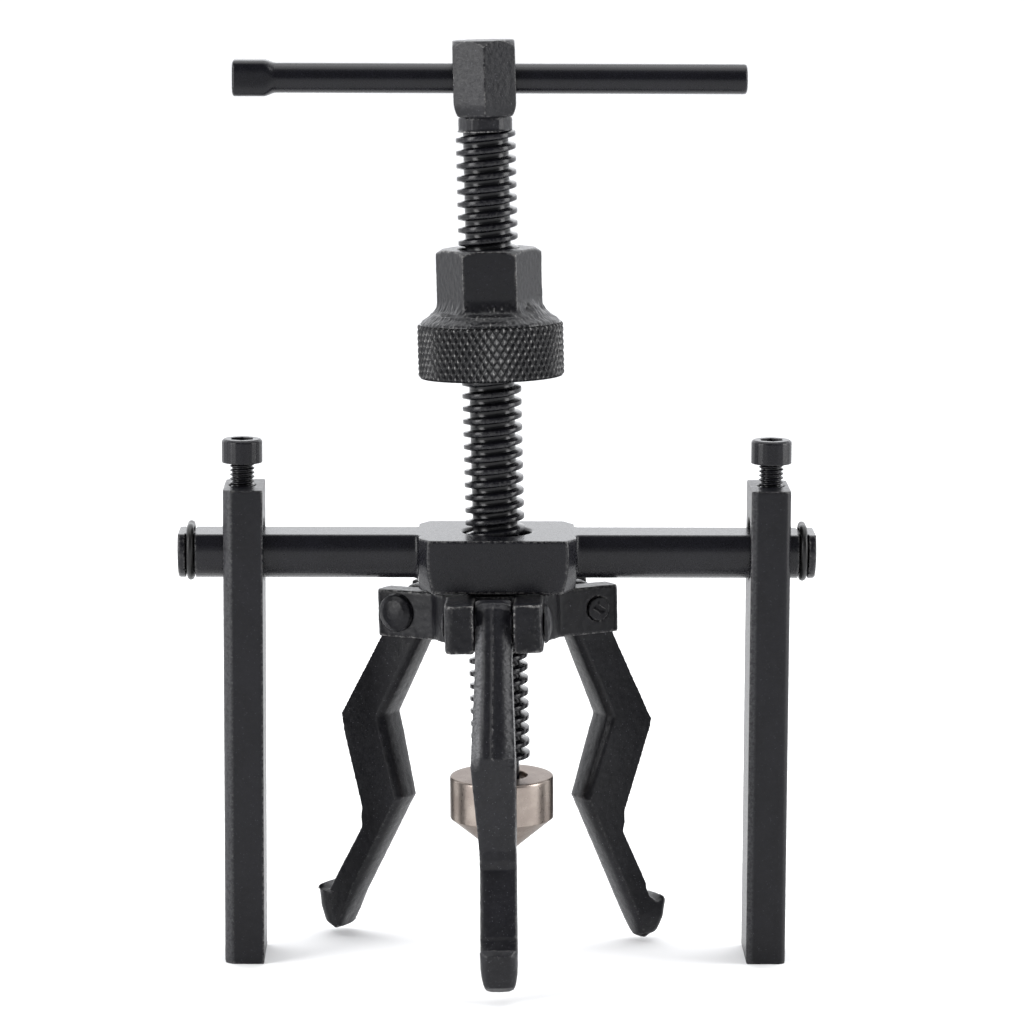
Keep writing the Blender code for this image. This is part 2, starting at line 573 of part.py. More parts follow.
LEAN = new_empty("screw_axis", location=(SCREW_X, AXIS_Y, BEAM_Z),
                 rotation=(-SCREW_BACK_LEAN, SCREW_LEAN, 0))
PIVOTS = {}
for fork, degrees in FORKS.items():
    azimuth = math.radians(degrees) + FORK_TURN
    PIVOTS[fork] = new_empty(f"pivot_{fork}", LEAN, (PIVOT_R * math.cos(azimuth), PIVOT_R * math.sin(azimuth),
                                                     on_screw(PIVOT_Z)), (math.pi / 2, 0, azimuth))
bpy.context.view_layer.update()

make_beam()
make_rings()
for leg_side, outwards in (("left", -1), ("right", 1)):
    make_leg(leg_side, outwards)
    make_clamp_screw(leg_side, outwards)
make_forcing_screw(LEAN)
make_tommy_bar()
make_nut(LEAN)
make_carrier(LEAN)
bpy.context.view_layer.update()
for fork, pivot_empty in PIVOTS.items():
    make_rivet(fork, pivot_empty)
    make_jaw(fork, pivot_empty)
make_cone(LEAN)
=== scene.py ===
"""The looks of the bridge puller: forged and turned black steel, rubber rings and a bright cone.

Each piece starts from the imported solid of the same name, or from its measured box and the joints' axes, and
gains what the plain solid lacks: real threads, the knurl, forged skins, rounded and worn edges.
Metres, +Z up. The beam lies along X; the forcing screw leans a little, and its frame is read from its joint.
"""

import json
import math

import bmesh
import bpy
import numpy as np
from mathutils import Matrix, Vector, noise
from mathutils.kdtree import KDTree

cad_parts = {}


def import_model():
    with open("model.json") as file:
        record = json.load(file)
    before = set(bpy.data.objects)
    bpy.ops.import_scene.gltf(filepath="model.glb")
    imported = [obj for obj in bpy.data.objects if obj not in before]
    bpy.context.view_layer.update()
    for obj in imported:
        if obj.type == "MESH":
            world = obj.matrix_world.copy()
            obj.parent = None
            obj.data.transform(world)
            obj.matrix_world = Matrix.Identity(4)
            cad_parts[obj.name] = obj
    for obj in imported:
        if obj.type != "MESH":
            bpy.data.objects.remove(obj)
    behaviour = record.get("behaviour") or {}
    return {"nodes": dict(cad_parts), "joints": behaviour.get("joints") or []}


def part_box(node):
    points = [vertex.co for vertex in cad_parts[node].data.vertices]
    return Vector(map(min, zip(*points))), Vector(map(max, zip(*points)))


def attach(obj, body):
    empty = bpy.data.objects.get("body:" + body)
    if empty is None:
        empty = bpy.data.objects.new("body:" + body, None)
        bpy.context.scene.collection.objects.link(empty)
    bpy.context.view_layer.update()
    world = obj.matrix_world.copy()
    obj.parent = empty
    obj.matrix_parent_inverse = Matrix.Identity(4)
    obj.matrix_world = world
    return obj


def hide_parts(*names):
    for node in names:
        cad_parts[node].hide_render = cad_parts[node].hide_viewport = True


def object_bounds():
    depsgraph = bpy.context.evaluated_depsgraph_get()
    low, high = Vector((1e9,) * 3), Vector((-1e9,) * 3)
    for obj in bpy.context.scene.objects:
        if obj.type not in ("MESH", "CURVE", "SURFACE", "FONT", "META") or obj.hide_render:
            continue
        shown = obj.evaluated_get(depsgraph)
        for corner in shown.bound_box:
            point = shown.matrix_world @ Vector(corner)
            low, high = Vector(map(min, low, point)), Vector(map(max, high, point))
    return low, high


MM = 0.001
SEED_SHIFT = 37.0                     # each piece's skin pattern is moved by its number times this
BEND_FLAT, BEND_SPAN = 0.02, 0.16     # the bends of the skin that count as flat, and from there to sharp

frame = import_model()
CAD_LOW, CAD_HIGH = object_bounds()
JOINTS = {joint["name"]: joint for joint in frame["joints"]}

# The size of the voxels in each piece's skin
SKIN = {"beam": 0.36 * MM, "leg": 0.33 * MM, "nut": 0.29 * MM, "carrier": 0.28 * MM, "jaw": 0.28 * MM,
        "screw": 0.2 * MM, "clamp": 0.16 * MM, "rivet": 0.16 * MM}

# The forcing screw, heights from the beam's axis along the screw
THREAD_PITCH = 3.0 * MM
THREAD_RADIUS = 7.0 * MM
THREAD_CORE = 5.3 * MM
THREAD_BOTTOM, THREAD_TOP = -50.3 * MM, 98.35 * MM
THREAD_ROOT, THREAD_CREST = 0.38, 0.35    # shares of the pitch
THREAD_PHASE = -0.60                  # turns
NECK_OVERLAP = 0.5 * MM               # the neck's piece reaches this far into the thread's
HEAD_START = 98.0 * MM                # the collar and the head lie above this

HEAD_FOOT = 101.55 * MM
HEAD_TOP = 119.25 * MM
HEAD_INSIDE = 5.0 * MM                # what lies nearer to the axis isn't the head's outer skin
HEAD_BELLY = 0.12 * MM                # how far the forged sides swell
HEAD_DRAW = 0.9 * MM                  # how far the foot is drawn in
HEAD_CROWN = 7.15 * MM                # the top's chamfer starts at this radius
HEAD_CHAMFER = 0.85                   # how much wider the chamfer is for each unit of drop
COLLAR_SOFT = 0.35 * MM               # how far the collar's six corners are rounded off

# The clamp screws
CLAMP_PITCH = 1.0 * MM
CLAMP_RADIUS = 2.92 * MM
CLAMP_CORE = 2.4 * MM
CLAMP_ROOT, CLAMP_CREST = 0.2, 0.16       # shares of the pitch
CLAMP_HEAD_HEIGHT = 5.6 * MM
CLAMP_OVERLAP = 0.3 * MM              # the thread reaches this far into the head

# The nut's knurled flange, heights from the beam's axis along the screw
KNURL_RADIUS = 17.2 * MM
KNURL_DEPTH = 0.5 * MM
KNURL_BOTTOM = 40.8 * MM
KNURL_TOP = 53.2 * MM
KNURL_COUNT = 63
KNURL_FINE = 12                       # steps of the mesh in one diamond
KNURL_SEAT = 0.9 * MM                 # the nut's body stays this far inside the knurled ring's face
KNURL_SLOPE = math.radians(31)        # of the grooves from the axis

# The nut's hexagon
NUT_HALF = 10.8 * MM
NUT_FLARE_TOP = 59.5 * MM
NUT_FLARE_BOTTOM = 54.0 * MM
NUT_FLARE = 1.5 * MM                  # how far the sides flare out into the shoulder
NUT_FIBRE = 0.15 * MM                 # the height of the streaks that run down the shoulder
NUT_LUMP_TURN = math.radians(-30)     # a half-round lump of the forging at one side's foot
NUT_LUMP_HEIGHT = 55.2 * MM

# The jaws' narrow faces
JAW_HALF = 4.25 * MM
JAW_FLAT = 0.72                       # share of the half thickness, rounded beyond
JAW_ROUND = 0.7 * MM
JAW_BAND = 0.46                       # half width of the band between the upper limb's bevels, as a share
JAW_BEVEL = {"front": 1.5 * MM, "right": 0.12 * MM, "left": 0.12 * MM}
JAW_RIDGE = 0.24 * MM
JAW_BELLY = 1.5 * MM                  # how far the inner edge's corners lie behind its middle
JAW_SWELL = 0.2                       # how much thicker the elbow is
JAW_NOTCH = 69.6 * MM                 # the hollow above the hook starts this far below the pivot
JAW_LEAN = {"front": 0.6 * MM, "right": 0.0, "left": 0.0}    # how far the elbow stands to one side

# The width and the depth of the legs' eased corners
LEG_EASE = {"left": (2.3 * MM, 1.0 * MM), "right": (1.6 * MM, 0.35 * MM)}

# The cone, heights from the beam's axis along the screw
CONE_RADIUS = 12.3 * MM
CONE_BORE = 4.7 * MM
CONE_MOUTH = 6.2 * MM                 # the wider part of the bore, at its top
CONE_TOP, CONE_MOUTH_FLOOR, CONE_FLOOR = -54.5 * MM, -55.9 * MM, -62.7 * MM
CONE_SIDE_BOTTOM, CONE_TIP = -64.6 * MM, -74.1 * MM
CONE_SAG = math.radians(2.2)          # it hangs a little askew on its loose fastening
CONE_ROLL = math.radians(0.9)
KEEPER_RADIUS, KEEPER_WIRE = 4.8 * MM, 0.58 * MM

# The tommy bar, whose left end is upset to a rounded square
BAR_RADIUS = 3.5 * MM
BAR_SOFT = 0.7 * MM                   # the radius of the ends' edges
BAR_UPSET = 7.2 * MM                  # the upset end's length
BAR_TAPER = 3.0 * MM
BAR_SQUARE = 4.5                      # the upset end's squareness, where 2 is round


# ---------------------------------------------------------------- frames

def axes_frame(origin, up, across):
    """A matrix whose Z is up and whose X is as near across as it can be."""
    z = Vector(up).normalized()
    x = (Vector(across) - z * Vector(across).dot(z)).normalized()
    y = z.cross(x)
    return Matrix.Translation(Vector(origin)) @ Matrix((x, y, z)).transposed().to_4x4()


SCREW = axes_frame(JOINTS["screw_turn"]["pos_m"], JOINTS["screw_turn"]["axis"], (1, 0, 0))
SCREW_UP = SCREW.to_3x3().col[2]


def jaw_frame(name):
    """X outwards, Y up along the screw and Z along the rivet."""
    joint = JOINTS[f"jaw_{name}_swing"]
    z = Vector(joint["axis"]).normalized()
    y = (SCREW_UP - z * SCREW_UP.dot(z)).normalized()
    return Matrix.Translation(Vector(joint["pos_m"])) @ Matrix((y.cross(z), y, z)).transposed().to_4x4()


JAWS = {name: jaw_frame(name) for name in ("front", "right", "left")}


# ---------------------------------------------------------------- meshes

def linked(name, mesh):
    obj = bpy.data.objects.new(name, mesh)
    bpy.context.scene.collection.objects.link(obj)
    return obj


def mesh_of(vertices, faces):
    mesh = bpy.data.meshes.new("piece")
    mesh.from_pydata([tuple(v) for v in vertices], [], [tuple(f) for f in faces])
    return mesh


def coordinates(mesh):
    co = np.empty(len(mesh.vertices) * 3)
    mesh.vertices.foreach_get("co", co)
    return co.reshape(-1, 3)


def normals(mesh):
    no = np.empty(len(mesh.vertices) * 3, np.float32)
    mesh.vertices.foreach_get("normal", no)
    return no.reshape(-1, 3).astype(float)


def put(mesh, co):
    mesh.vertices.foreach_set("co", np.ascontiguousarray(co, np.float32).ravel())
    mesh.update()


def local(co, matrix):
    m = np.array(matrix.inverted())
    return co @ m[:3, :3].T + m[:3, 3]


def world(co, matrix):
    m = np.array(matrix)
    return co @ m[:3, :3].T + m[:3, 3]


def applied(obj):
    """Give the object the mesh that its modifiers make, and drop them."""
    bpy.context.view_layer.update()
    evaluated = obj.evaluated_get(bpy.context.evaluated_depsgraph_get())
    mesh = bpy.data.meshes.new_from_object(evaluated)
    obj.modifiers.clear()
    obj.data = mesh
    return obj


def from_cad(node):
    """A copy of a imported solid, its corners welded."""
    mesh = frame["nodes"][node].data.copy()
    bm = bmesh.new()
    bm.from_mesh(mesh)
    bmesh.ops.remove_doubles(bm, verts=bm.verts, dist=0.001 * MM)
    bm.to_mesh(mesh)
    bm.free()
    mesh.materials.clear()
    return linked(f"work_{node}", mesh)


def cut_flat(obj, point, direction):
    """Take away what lies beyond a plane, and close the cut."""
    bm = bmesh.new()
    bm.from_mesh(obj.data)
    bmesh.ops.bisect_plane(bm, geom=bm.verts[:] + bm.edges[:] + bm.faces[:], plane_co=point,
                           plane_no=direction, clear_outer=True)
    rim = [edge for edge in bm.edges if edge.is_boundary]
    bmesh.ops.edgeloop_fill(bm, edges=rim)
    bmesh.ops.recalc_face_normals(bm, faces=bm.faces)
    bm.to_mesh(obj.data)
    bm.free()
    return obj


def join(obj, *others):
    """Put other objects' meshes into this one's."""
    bm = bmesh.new()
    for source in (obj, *others):
        bm.from_mesh(source.data)
    bm.to_mesh(obj.data)
    bm.free()
    for source in others:
        bpy.data.objects.remove(source)
    return obj


def remeshed(obj, voxel, passes):
    """One even skin over the solid, its edges rounded by a few smoothing passes."""
    modifier = obj.modifiers.new("skin", 'REMESH')
    modifier.mode = 'VOXEL'
    modifier.voxel_size = voxel
    applied(obj)
    relax(obj.data, passes)
    return obj


def edge_ends(mesh):
    ends = np.empty(len(mesh.edges) * 2, np.int32)
    mesh.edges.foreach_get("vertices", ends)
    return ends.reshape(-1, 2)


def neighbour_mean(values, ends, count):
    total = np.zeros_like(values)
    number = np.zeros(count)
    np.add.at(total, ends[:, 0], values[ends[:, 1]])
    np.add.at(total, ends[:, 1], values[ends[:, 0]])
    np.add.at(number, ends.ravel(), 1)
    return total / np.maximum(number, 1).reshape((-1,) + (1,) * (values.ndim - 1))


def relax(mesh, passes, weight=None):
    """Smooth without shrinking: each pass in is followed by a nearly equal pass out."""
    co, ends = coordinates(mesh), edge_ends(mesh)
    share = 1.0 if weight is None else weight[:, None]
    for _ in range(passes):
        co = co + 0.55 * share * (neighbour_mean(co, ends, len(co)) - co)
        co = co - 0.50 * share * (neighbour_mean(co, ends, len(co)) - co)
    put(mesh, co)


def smooth_out(mesh, passes, weight):
    """Plain smoothing, which melts steps away where the weight is high."""
    co, ends = coordinates(mesh), edge_ends(mesh)
    for _ in range(passes):
        co = co + 0.5 * weight[:, None] * (neighbour_mean(co, ends, len(co)) - co)
    put(mesh, co)


def noise_at(co, size, seed, octaves=2):
    """Smooth noise of about -1 to 1 at each point, with features of that size."""
    shift = Vector((SEED_SHIFT * seed, 0, 0))
    return np.array([noise.fractal(Vector(p) / size + shift, 1.0, 2.0, octaves) for p in co])


def roughen(mesh, amplitude, size, seed, octaves=2, weight=1.0):
    """Push the skin in and out by noise."""
    co = coordinates(mesh)
    put(mesh, co + normals(mesh) * (amplitude * weight * noise_at(co, size, seed, octaves))[:, None])


def mark_edges(mesh, gain=1.0, spread=2):
    """Store how convex the skin is at each vertex, which the finishes wear down and brighten."""
    co, ends = coordinates(mesh), edge_ends(mesh)
    length = np.linalg.norm(co[ends[:, 0]] - co[ends[:, 1]], axis=1).mean()
    bend = -((neighbour_mean(co, ends, len(co)) - co) * normals(mesh)).sum(1) / length
    for _ in range(spread):
        bend = 0.5 * bend + 0.5 * neighbour_mean(bend, ends, len(co))
    store(mesh, "edge", np.clip((bend * gain - BEND_FLAT) / BEND_SPAN, 0, 1))
    store(mesh, "hollow", np.clip((-bend * gain - BEND_FLAT) / BEND_SPAN, 0, 1))


def store(mesh, name, values):
    attribute = mesh.attributes.get(name) or mesh.attributes.new(name, 'FLOAT', 'POINT')
    attribute.data.foreach_set("value", np.ascontiguousarray(values, np.float32))


def rounded(points, radius, steps=5, closed=False):
    """A profile with its corners turned into arcs; radius may be one number or one per point."""
    count = len(points)
    radii = [radius] * count if isinstance(radius, (int, float)) else radius
    out = []
    for i, point in enumerate(points):
        here = Vector(point)
        if (not closed and i in (0, count - 1)) or radii[i] <= 0:
            out.append(tuple(here))
            continue
        before, after = Vector(points[i - 1]) - here, Vector(points[(i + 1) % count]) - here
        half = before.angle(after) / 2
        reach = min(radii[i] / math.tan(half), 0.45 * before.length, 0.45 * after.length)
        start, end = here + before.normalized() * reach, here + after.normalized() * reach
        for k in range(steps + 1):
            t = k / steps
            out.append(tuple(start * (1 - t) ** 2 + here * (2 * t * (1 - t)) + end * t ** 2))
    return out


def revolved(profile, steps, closed=False):
    """A solid of revolution about Z from (radius, height) points, top to bottom down the outer side."""
    vertices, rings, faces = [], [], []
    for radius, height in profile:
        if radius < 1e-9:
            rings.append([len(vertices)])
            vertices.append((0, 0, height))
            continue
        rings.append(range(len(vertices), len(vertices) + steps))
        vertices += [(radius * math.cos(2 * math.pi * i / steps), radius * math.sin(2 * math.pi * i / steps),
                      height) for i in range(steps)]
    pairs = list(zip(rings, rings[1:])) + ([(rings[-1], rings[0])] if closed else [])
    for upper, lower in pairs:
        for i in range(steps):
            j = (i + 1) % steps
            if len(upper) == 1 and len(lower) == 1:
                continue
            if len(upper) == 1:
                faces.append((upper[0], lower[i], lower[j]))
            elif len(lower) == 1:
                faces.append((upper[i], lower[0], upper[j]))
            else:
                faces.append((upper[i], lower[i], lower[j], upper[j]))
    return mesh_of(vertices, faces)


def helicoid(profile, pitch, bottom, top, steps, phase=0.0):
    """A threaded rod along Z. The profile holds (radius, height) points over one pitch, bottom first."""
    across = len(profile)
    turns = math.ceil((top - bottom) / pitch) + 2
    rows = turns * steps + 1
    vertices = []
    for row in range(rows):
        angle = 2 * math.pi * (row / steps + phase)
        lift = bottom - pitch + pitch * row / steps
        vertices += [(r * math.cos(angle), r * math.sin(angle), lift + h) for r, h in profile]
    faces = []
    for row in range(rows - 1 - steps):
        for k in range(across):
            a, b = row * across + k, (row + 1) * across + k
            if k + 1 < across:
                faces.append((a, b, b + 1, a + 1))
            else:
                faces.append((a, b, (row + 1 + steps) * across, (row + steps) * across))
    mesh = mesh_of(vertices, faces)
    bm = bmesh.new()
    bm.from_mesh(mesh)
    for height, direction in ((bottom, -1), (top, 1)):
        bmesh.ops.bisect_plane(bm, geom=bm.verts[:] + bm.edges[:] + bm.faces[:], plane_co=(0, 0, height),
                               plane_no=(0, 0, direction), clear_outer=True)
        rim = [edge for edge in bm.edges if edge.is_boundary
               and all(abs(vertex.co.z - height) < pitch / 50 for vertex in edge.verts)]
        bmesh.ops.edgeloop_fill(bm, edges=rim)
    loose = [v for v in bm.verts if not v.link_faces]
    bmesh.ops.delete(bm, geom=loose, context='VERTS')
    bmesh.ops.recalc_face_normals(bm, faces=bm.faces)
    bm.to_mesh(mesh)
    bm.free()
    return mesh


def thread_profile(core, crest, pitch, root_share, crest_share, steps=3):
    """One pitch of a trapezoidal thread with softened corners."""
    root, flat = root_share * pitch, crest_share * pitch
    flank = (pitch - root - flat) / 2
    corners = [(core, 0), (core, root), (crest, root + flank), (crest, root + flank + flat)]
    soft = 0.22 * min(flat, root, flank + (crest - core))
    points = []
    for i, corner in enumerate(corners):
        before = Vector(corners[i - 1]) - Vector((0, pitch if i == 0 else 0))
        after = Vector(corners[(i + 1) % 4]) + Vector((0, pitch if i == 3 else 0))
        here = Vector(corner)
        start, end = here + (before - here).normalized() * soft, here + (after - here).normalized() * soft
        for k in range(steps):
            t = k / (steps - 1)
            points.append(tuple(start * (1 - t) ** 2 + here * (2 * t * (1 - t)) + end * t ** 2))
    return points


def tube(points, radius, sides=16):
    """A closed round wire along a loop of points."""
    points = [Vector(p) for p in points]
    count = len(points)
    vertices, faces = [], []
    crosses = ((points[i] - points[0]).cross(points[(i + 1) % count] - points[0]) for i in range(count))
    plane = sum(crosses, Vector()).normalized()
    for i, point in enumerate(points):
        along = (points[(i + 1) % count] - points[i - 1]).normalized()
        out = along.cross(plane).normalized()
        for k in range(sides):
            a = 2 * math.pi * k / sides
            vertices.append(point + radius * (out * math.cos(a) + plane * math.sin(a)))
    for i in range(count):
        j = (i + 1) % count
        for k in range(sides):
            m = (k + 1) % sides
            faces.append((i * sides + k, i * sides + m, j * sides + m, j * sides + k))
    return mesh_of(vertices, faces)


def lofted(stations, sides):
    """A closed solid along X. Each station is (x, half size, squareness): 2 is round, more is squarer."""
    vertices, faces = [], []
    for x, half, power in stations:
        for k in range(sides):
            a = 2 * math.pi * k / sides
            c, s = math.cos(a), math.sin(a)
            r = half / (abs(c) ** power + abs(s) ** power) ** (1 / power)
            vertices.append((x, r * c, r * s))
    for i in range(len(stations) - 1):
        for k in range(sides):
            m = (k + 1) % sides
            faces.append((i * sides + k, i * sides + m, (i + 1) * sides + m, (i + 1) * sides + k))
    faces.append(tuple(range(sides - 1, -1, -1)))
    faces.append(tuple((len(stations) - 1) * sides + k for k in range(sides)))
    return mesh_of(vertices, faces)


# ---------------------------------------------------------------- finishes

class Nodes:
    """A short way to wire a material's nodes."""

    def __init__(self, name):
        self.material = bpy.data.materials.new(name)
        self.material.use_nodes = True
        self.tree = self.material.node_tree
        self.shader = self.tree.nodes["Principled BSDF"]
        self.place = self.add('ShaderNodeTexCoord').outputs["Object"]

    def add(self, kind, **settings):
        node = self.tree.nodes.new(kind)
        for key, value in settings.items():
            setattr(node, key, value)
        return node

    def wire(self, source, target):
        if isinstance(source, (int, float)):
            target.default_value = source
        elif isinstance(source, tuple):
            target.default_value = (*source, 1.0)
        else:
            self.tree.links.new(source, target)

    def noise(self, size, detail=3.0, roughness=0.6, stretch=(1, 1, 1)):
        where = self.place
        if stretch != (1, 1, 1):
            mapping = self.add('ShaderNodeMapping')
            mapping.inputs["Scale"].default_value = stretch
            self.wire(where, mapping.inputs["Vector"])
            where = mapping.outputs["Vector"]
        node = self.add('ShaderNodeTexNoise')
        self.wire(where, node.inputs["Vector"])
        node.inputs["Scale"].default_value = 1 / size
        node.inputs["Detail"].default_value = detail
        node.inputs["Roughness"].default_value = roughness
        return node.outputs["Fac"]

    def cells(self, size):
        node = self.add('ShaderNodeTexVoronoi')
        self.wire(self.place, node.inputs["Vector"])
        node.inputs["Scale"].default_value = 1 / size
        return node.outputs["Distance"]

    def attribute(self, name):
        return self.add('ShaderNodeAttribute', attribute_name=name).outputs["Fac"]

    def ramp(self, value, low, high, out_low=0.0, out_high=1.0):
        node = self.add('ShaderNodeMapRange', interpolation_type='SMOOTHSTEP')
        self.wire(value, node.inputs["Value"])
        for key, number in (("From Min", low), ("From Max", high), ("To Min", out_low), ("To Max", out_high)):
            node.inputs[key].default_value = number
        return node.outputs["Result"]

    def math(self, operation, a, b, clamp=False):
        node = self.add('ShaderNodeMath', operation=operation, use_clamp=clamp)
        self.wire(a, node.inputs[0])
        self.wire(b, node.inputs[1])
        return node.outputs["Value"]

    def mix(self, factor, a, b):
        node = self.add('ShaderNodeMix', data_type='RGBA')
        self.wire(factor, node.inputs["Factor"])
        self.wire(a, node.inputs["A"])
        self.wire(b, node.inputs["B"])
        return node.outputs["Result"]

    def bump(self, height, strength, distance, normal=None):
        node = self.add('ShaderNodeBump')
        node.inputs["Strength"].default_value = strength
        node.inputs["Distance"].default_value = distance
        self.wire(height, node.inputs["Height"])
        if normal is not None:
            self.wire(normal, node.inputs["Normal"])
        return node.outputs["Normal"]


BARE_STEEL = (0.24, 0.235, 0.23)
SCALE_GREY = (0.11, 0.11, 0.115)
# the near black that the colour is darkened towards in the mesh's hollows
HOLLOW_DARK = (0.003, 0.003, 0.0032)


def black_steel(name, dark, pale, roughness, grain, grain_depth, wear, specks, ior=1.32, uneven=0.05,
                pits=0.0):
    """Black oxide over steel: mottled dark film, fine grain, pale specks, edges rubbed paler, and crusts of
    scale where the mesh's attribute says so."""
    n = Nodes(name)
    patches = n.ramp(n.noise(9 * MM, 4), 0.35, 0.68)
    mottle = n.ramp(n.noise(1.1 * MM, 5, 0.7), 0.38, 0.72)
    film = n.mix(patches, dark, tuple(c * 1.5 for c in dark))
    film = n.mix(n.math('MULTIPLY', mottle, 0.45), film, pale)
    speck = n.ramp(n.noise(0.35 * MM, 2, 0.5), 0.66, 0.76)
    film = n.mix(n.math('MULTIPLY', speck, specks), film, tuple(min(1.0, c * 6) for c in pale))
    crust = n.ramp(n.noise(0.8 * MM, 4, 0.75), 0.36, 0.6, 0.35, 1.0)
    film = n.mix(n.math('MULTIPLY', crust, n.attribute("scale")), film, SCALE_GREY)
    rubbed = n.ramp(n.noise(0.9 * MM, 4, 0.75), 0.42, 0.62)
    sharp = n.math('POWER', n.attribute("edge"), 1.6)
    edge = n.math('MULTIPLY', n.math('MULTIPLY', sharp, rubbed), wear, clamp=True)
    film = n.mix(edge, film, BARE_STEEL)
    # the colour darkens towards near black where the 'hollow' attribute marks concave skin
    hollow_darkening = n.math('MULTIPLY', n.attribute("hollow"), 0.6, clamp=True)
    film = n.mix(hollow_darkening, film, HOLLOW_DARK)
    n.wire(film, n.shader.inputs["Base Color"])
    gloss = n.ramp(n.noise(0.7 * MM, 4, 0.7), 0.3, 0.7, roughness - uneven, roughness + uneven)
    n.wire(n.math('SUBTRACT', gloss, n.math('MULTIPLY', edge, 0.08)), n.shader.inputs["Roughness"])
    n.shader.inputs["IOR"].default_value = ior
    normal = n.bump(n.noise(grain * 3, 3, 0.6), 0.5, grain_depth)
    if pits:
        waver = n.math('MULTIPLY', n.noise(3 * MM, 2), 0.35)
        pit = n.ramp(n.math('ADD', n.cells(1.9 * MM), waver), 0.17, 0.26)
        normal = n.bump(pit, pits, 0.05 * MM, normal)
    n.wire(n.bump(n.noise(grain, 3, 0.65), 0.8, grain_depth, normal), n.shader.inputs["Normal"])
    return n.material


def bright_nickel(name):
    """Turned steel under nickel: fine rings round the axis, warm grey, a little cloudy."""
    n = Nodes(name)
    clouds = n.ramp(n.noise(5 * MM, 4), 0.35, 0.7)
    colour = n.mix(clouds, (0.25, 0.212, 0.188), (0.315, 0.275, 0.243))
    stain = n.ramp(n.noise(0.8 * MM, 3), 0.62, 0.75)
    colour = n.mix(n.math('MULTIPLY', stain, 0.25), colour, (0.17, 0.145, 0.13))
    n.wire(colour, n.shader.inputs["Base Color"])
    n.shader.inputs["Metallic"].default_value = 1.0
    n.shader.inputs["Specular Tint"].default_value = (0.54, 0.53, 0.53, 1.0)
    rings = n.noise(0.10 * MM, 2, 0.5, (0.02, 0.02, 1))
    n.wire(n.ramp(n.noise(0.6 * MM, 4), 0.3, 0.7, 0.27, 0.33), n.shader.inputs["Roughness"])
    n.wire(n.bump(rings, 0.12, 0.01 * MM), n.shader.inputs["Normal"])
    return n.material


def black_rubber(name):
    n = Nodes(name)
    dust = n.ramp(n.noise(0.5 * MM, 3), 0.55, 0.75)
    n.wire(n.mix(n.math('MULTIPLY', dust, 0.4), (0.006, 0.006, 0.006), (0.02, 0.02, 0.02)),
           n.shader.inputs["Base Color"])
    n.wire(n.ramp(n.noise(1.2 * MM, 3), 0.3, 0.7, 0.3, 0.42), n.shader.inputs["Roughness"])
    n.shader.inputs["IOR"].default_value = 1.35
    n.wire(n.bump(n.noise(0.3 * MM, 2), 0.4, 0.01 * MM), n.shader.inputs["Normal"])
    return n.material


def spring_wire(name):
    n = Nodes(name)
    n.wire(n.mix(n.ramp(n.noise(0.4 * MM, 3), 0.4, 0.6), (0.22, 0.22, 0.23), (0.34, 0.34, 0.35)),
           n.shader.inputs["Base Color"])
    n.shader.inputs["Metallic"].default_value = 1.0
    n.wire(n.ramp(n.noise(1.0 * MM, 3), 0.3, 0.7, 0.25, 0.4), n.shader.inputs["Roughness"])
    return n.material


def pale_floor(name):
    n = Nodes(name)
    n.wire(n.mix(n.noise(0.4, 2), (0.90, 0.90, 0.90), (0.92, 0.92, 0.92)), n.shader.inputs["Base Color"])
    n.shader.inputs["Roughness"].default_value = 0.9
    n.shader.inputs["Specular IOR Level"].default_value = 0.0
    return n.material


MACHINED = black_steel("machined_black", (0.0038, 0.0038, 0.0054), (0.007, 0.007, 0.0092), roughness=0.28,
                       grain=0.25 * MM, grain_depth=0.004 * MM, wear=0.42, specks=0.15, uneven=0.03, pits=0.8)
MILLED = black_steel("milled_black", (0.005, 0.005, 0.0066), (0.0102, 0.0103, 0.0125), roughness=0.34,
                     grain=0.30 * MM, grain_depth=0.010 * MM, wear=0.7, specks=0.5, ior=1.29, pits=0.5)
FORGED = black_steel("forged_black", (0.0050, 0.0050, 0.0066), (0.017, 0.017, 0.0195), roughness=0.38,
                     grain=0.34 * MM, grain_depth=0.045 * MM, wear=1.0, specks=0.8, uneven=0.08)
FORGED_FINE = black_steel("forged_black_fine", (0.0016, 0.0016, 0.0028), (0.0050, 0.0050, 0.0070),
                          roughness=0.34, grain=0.34 * MM, grain_depth=0.025 * MM, wear=0.9, specks=0.9,
                          ior=1.38, uneven=0.07)
FORGED_DULL = black_steel("forged_black_dull", (0.0030, 0.0030, 0.0042), (0.0085, 0.0085, 0.0105),
                          roughness=0.37, grain=0.34 * MM, grain_depth=0.030 * MM, wear=1.0, specks=0.9,
                          ior=1.28, uneven=0.07)
DRAWN = black_steel("drawn_black", (0.0036, 0.0036, 0.0052), (0.006, 0.006, 0.0080), roughness=0.26,
                    grain=0.25 * MM, grain_depth=0.003 * MM, wear=0.3, specks=0.1, uneven=0.03)
THREADED = black_steel("threaded_black", (0.0036, 0.0036, 0.0052), (0.008, 0.008, 0.0102), roughness=0.22,
                       grain=0.25 * MM, grain_depth=0.003 * MM, wear=0.08, specks=0.06)
KNURLED = black_steel("knurled_black", (0.0055, 0.0055, 0.0065), (0.014, 0.014, 0.015), roughness=0.27,
                      grain=0.30 * MM, grain_depth=0.012 * MM, wear=1.3, specks=0.3)
NICKEL = bright_nickel("bright_nickel")
RUBBER = black_rubber("black_rubber")
WIRE = spring_wire("spring_wire")


# ---------------------------------------------------------------- placing

def piece(obj, name, body, nodes, material, smooth_angle=40):
    """Name a finished piece, give it its finish, and hang it on its body."""
    obj.name = obj.data.name = name
    obj.data.materials.clear()
    obj.data.materials.append(material)
    obj.data.shade_smooth()
    obj.data.set_sharp_from_angle(angle=math.radians(smooth_angle))
    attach(obj, body)
    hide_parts(*nodes)
    return obj


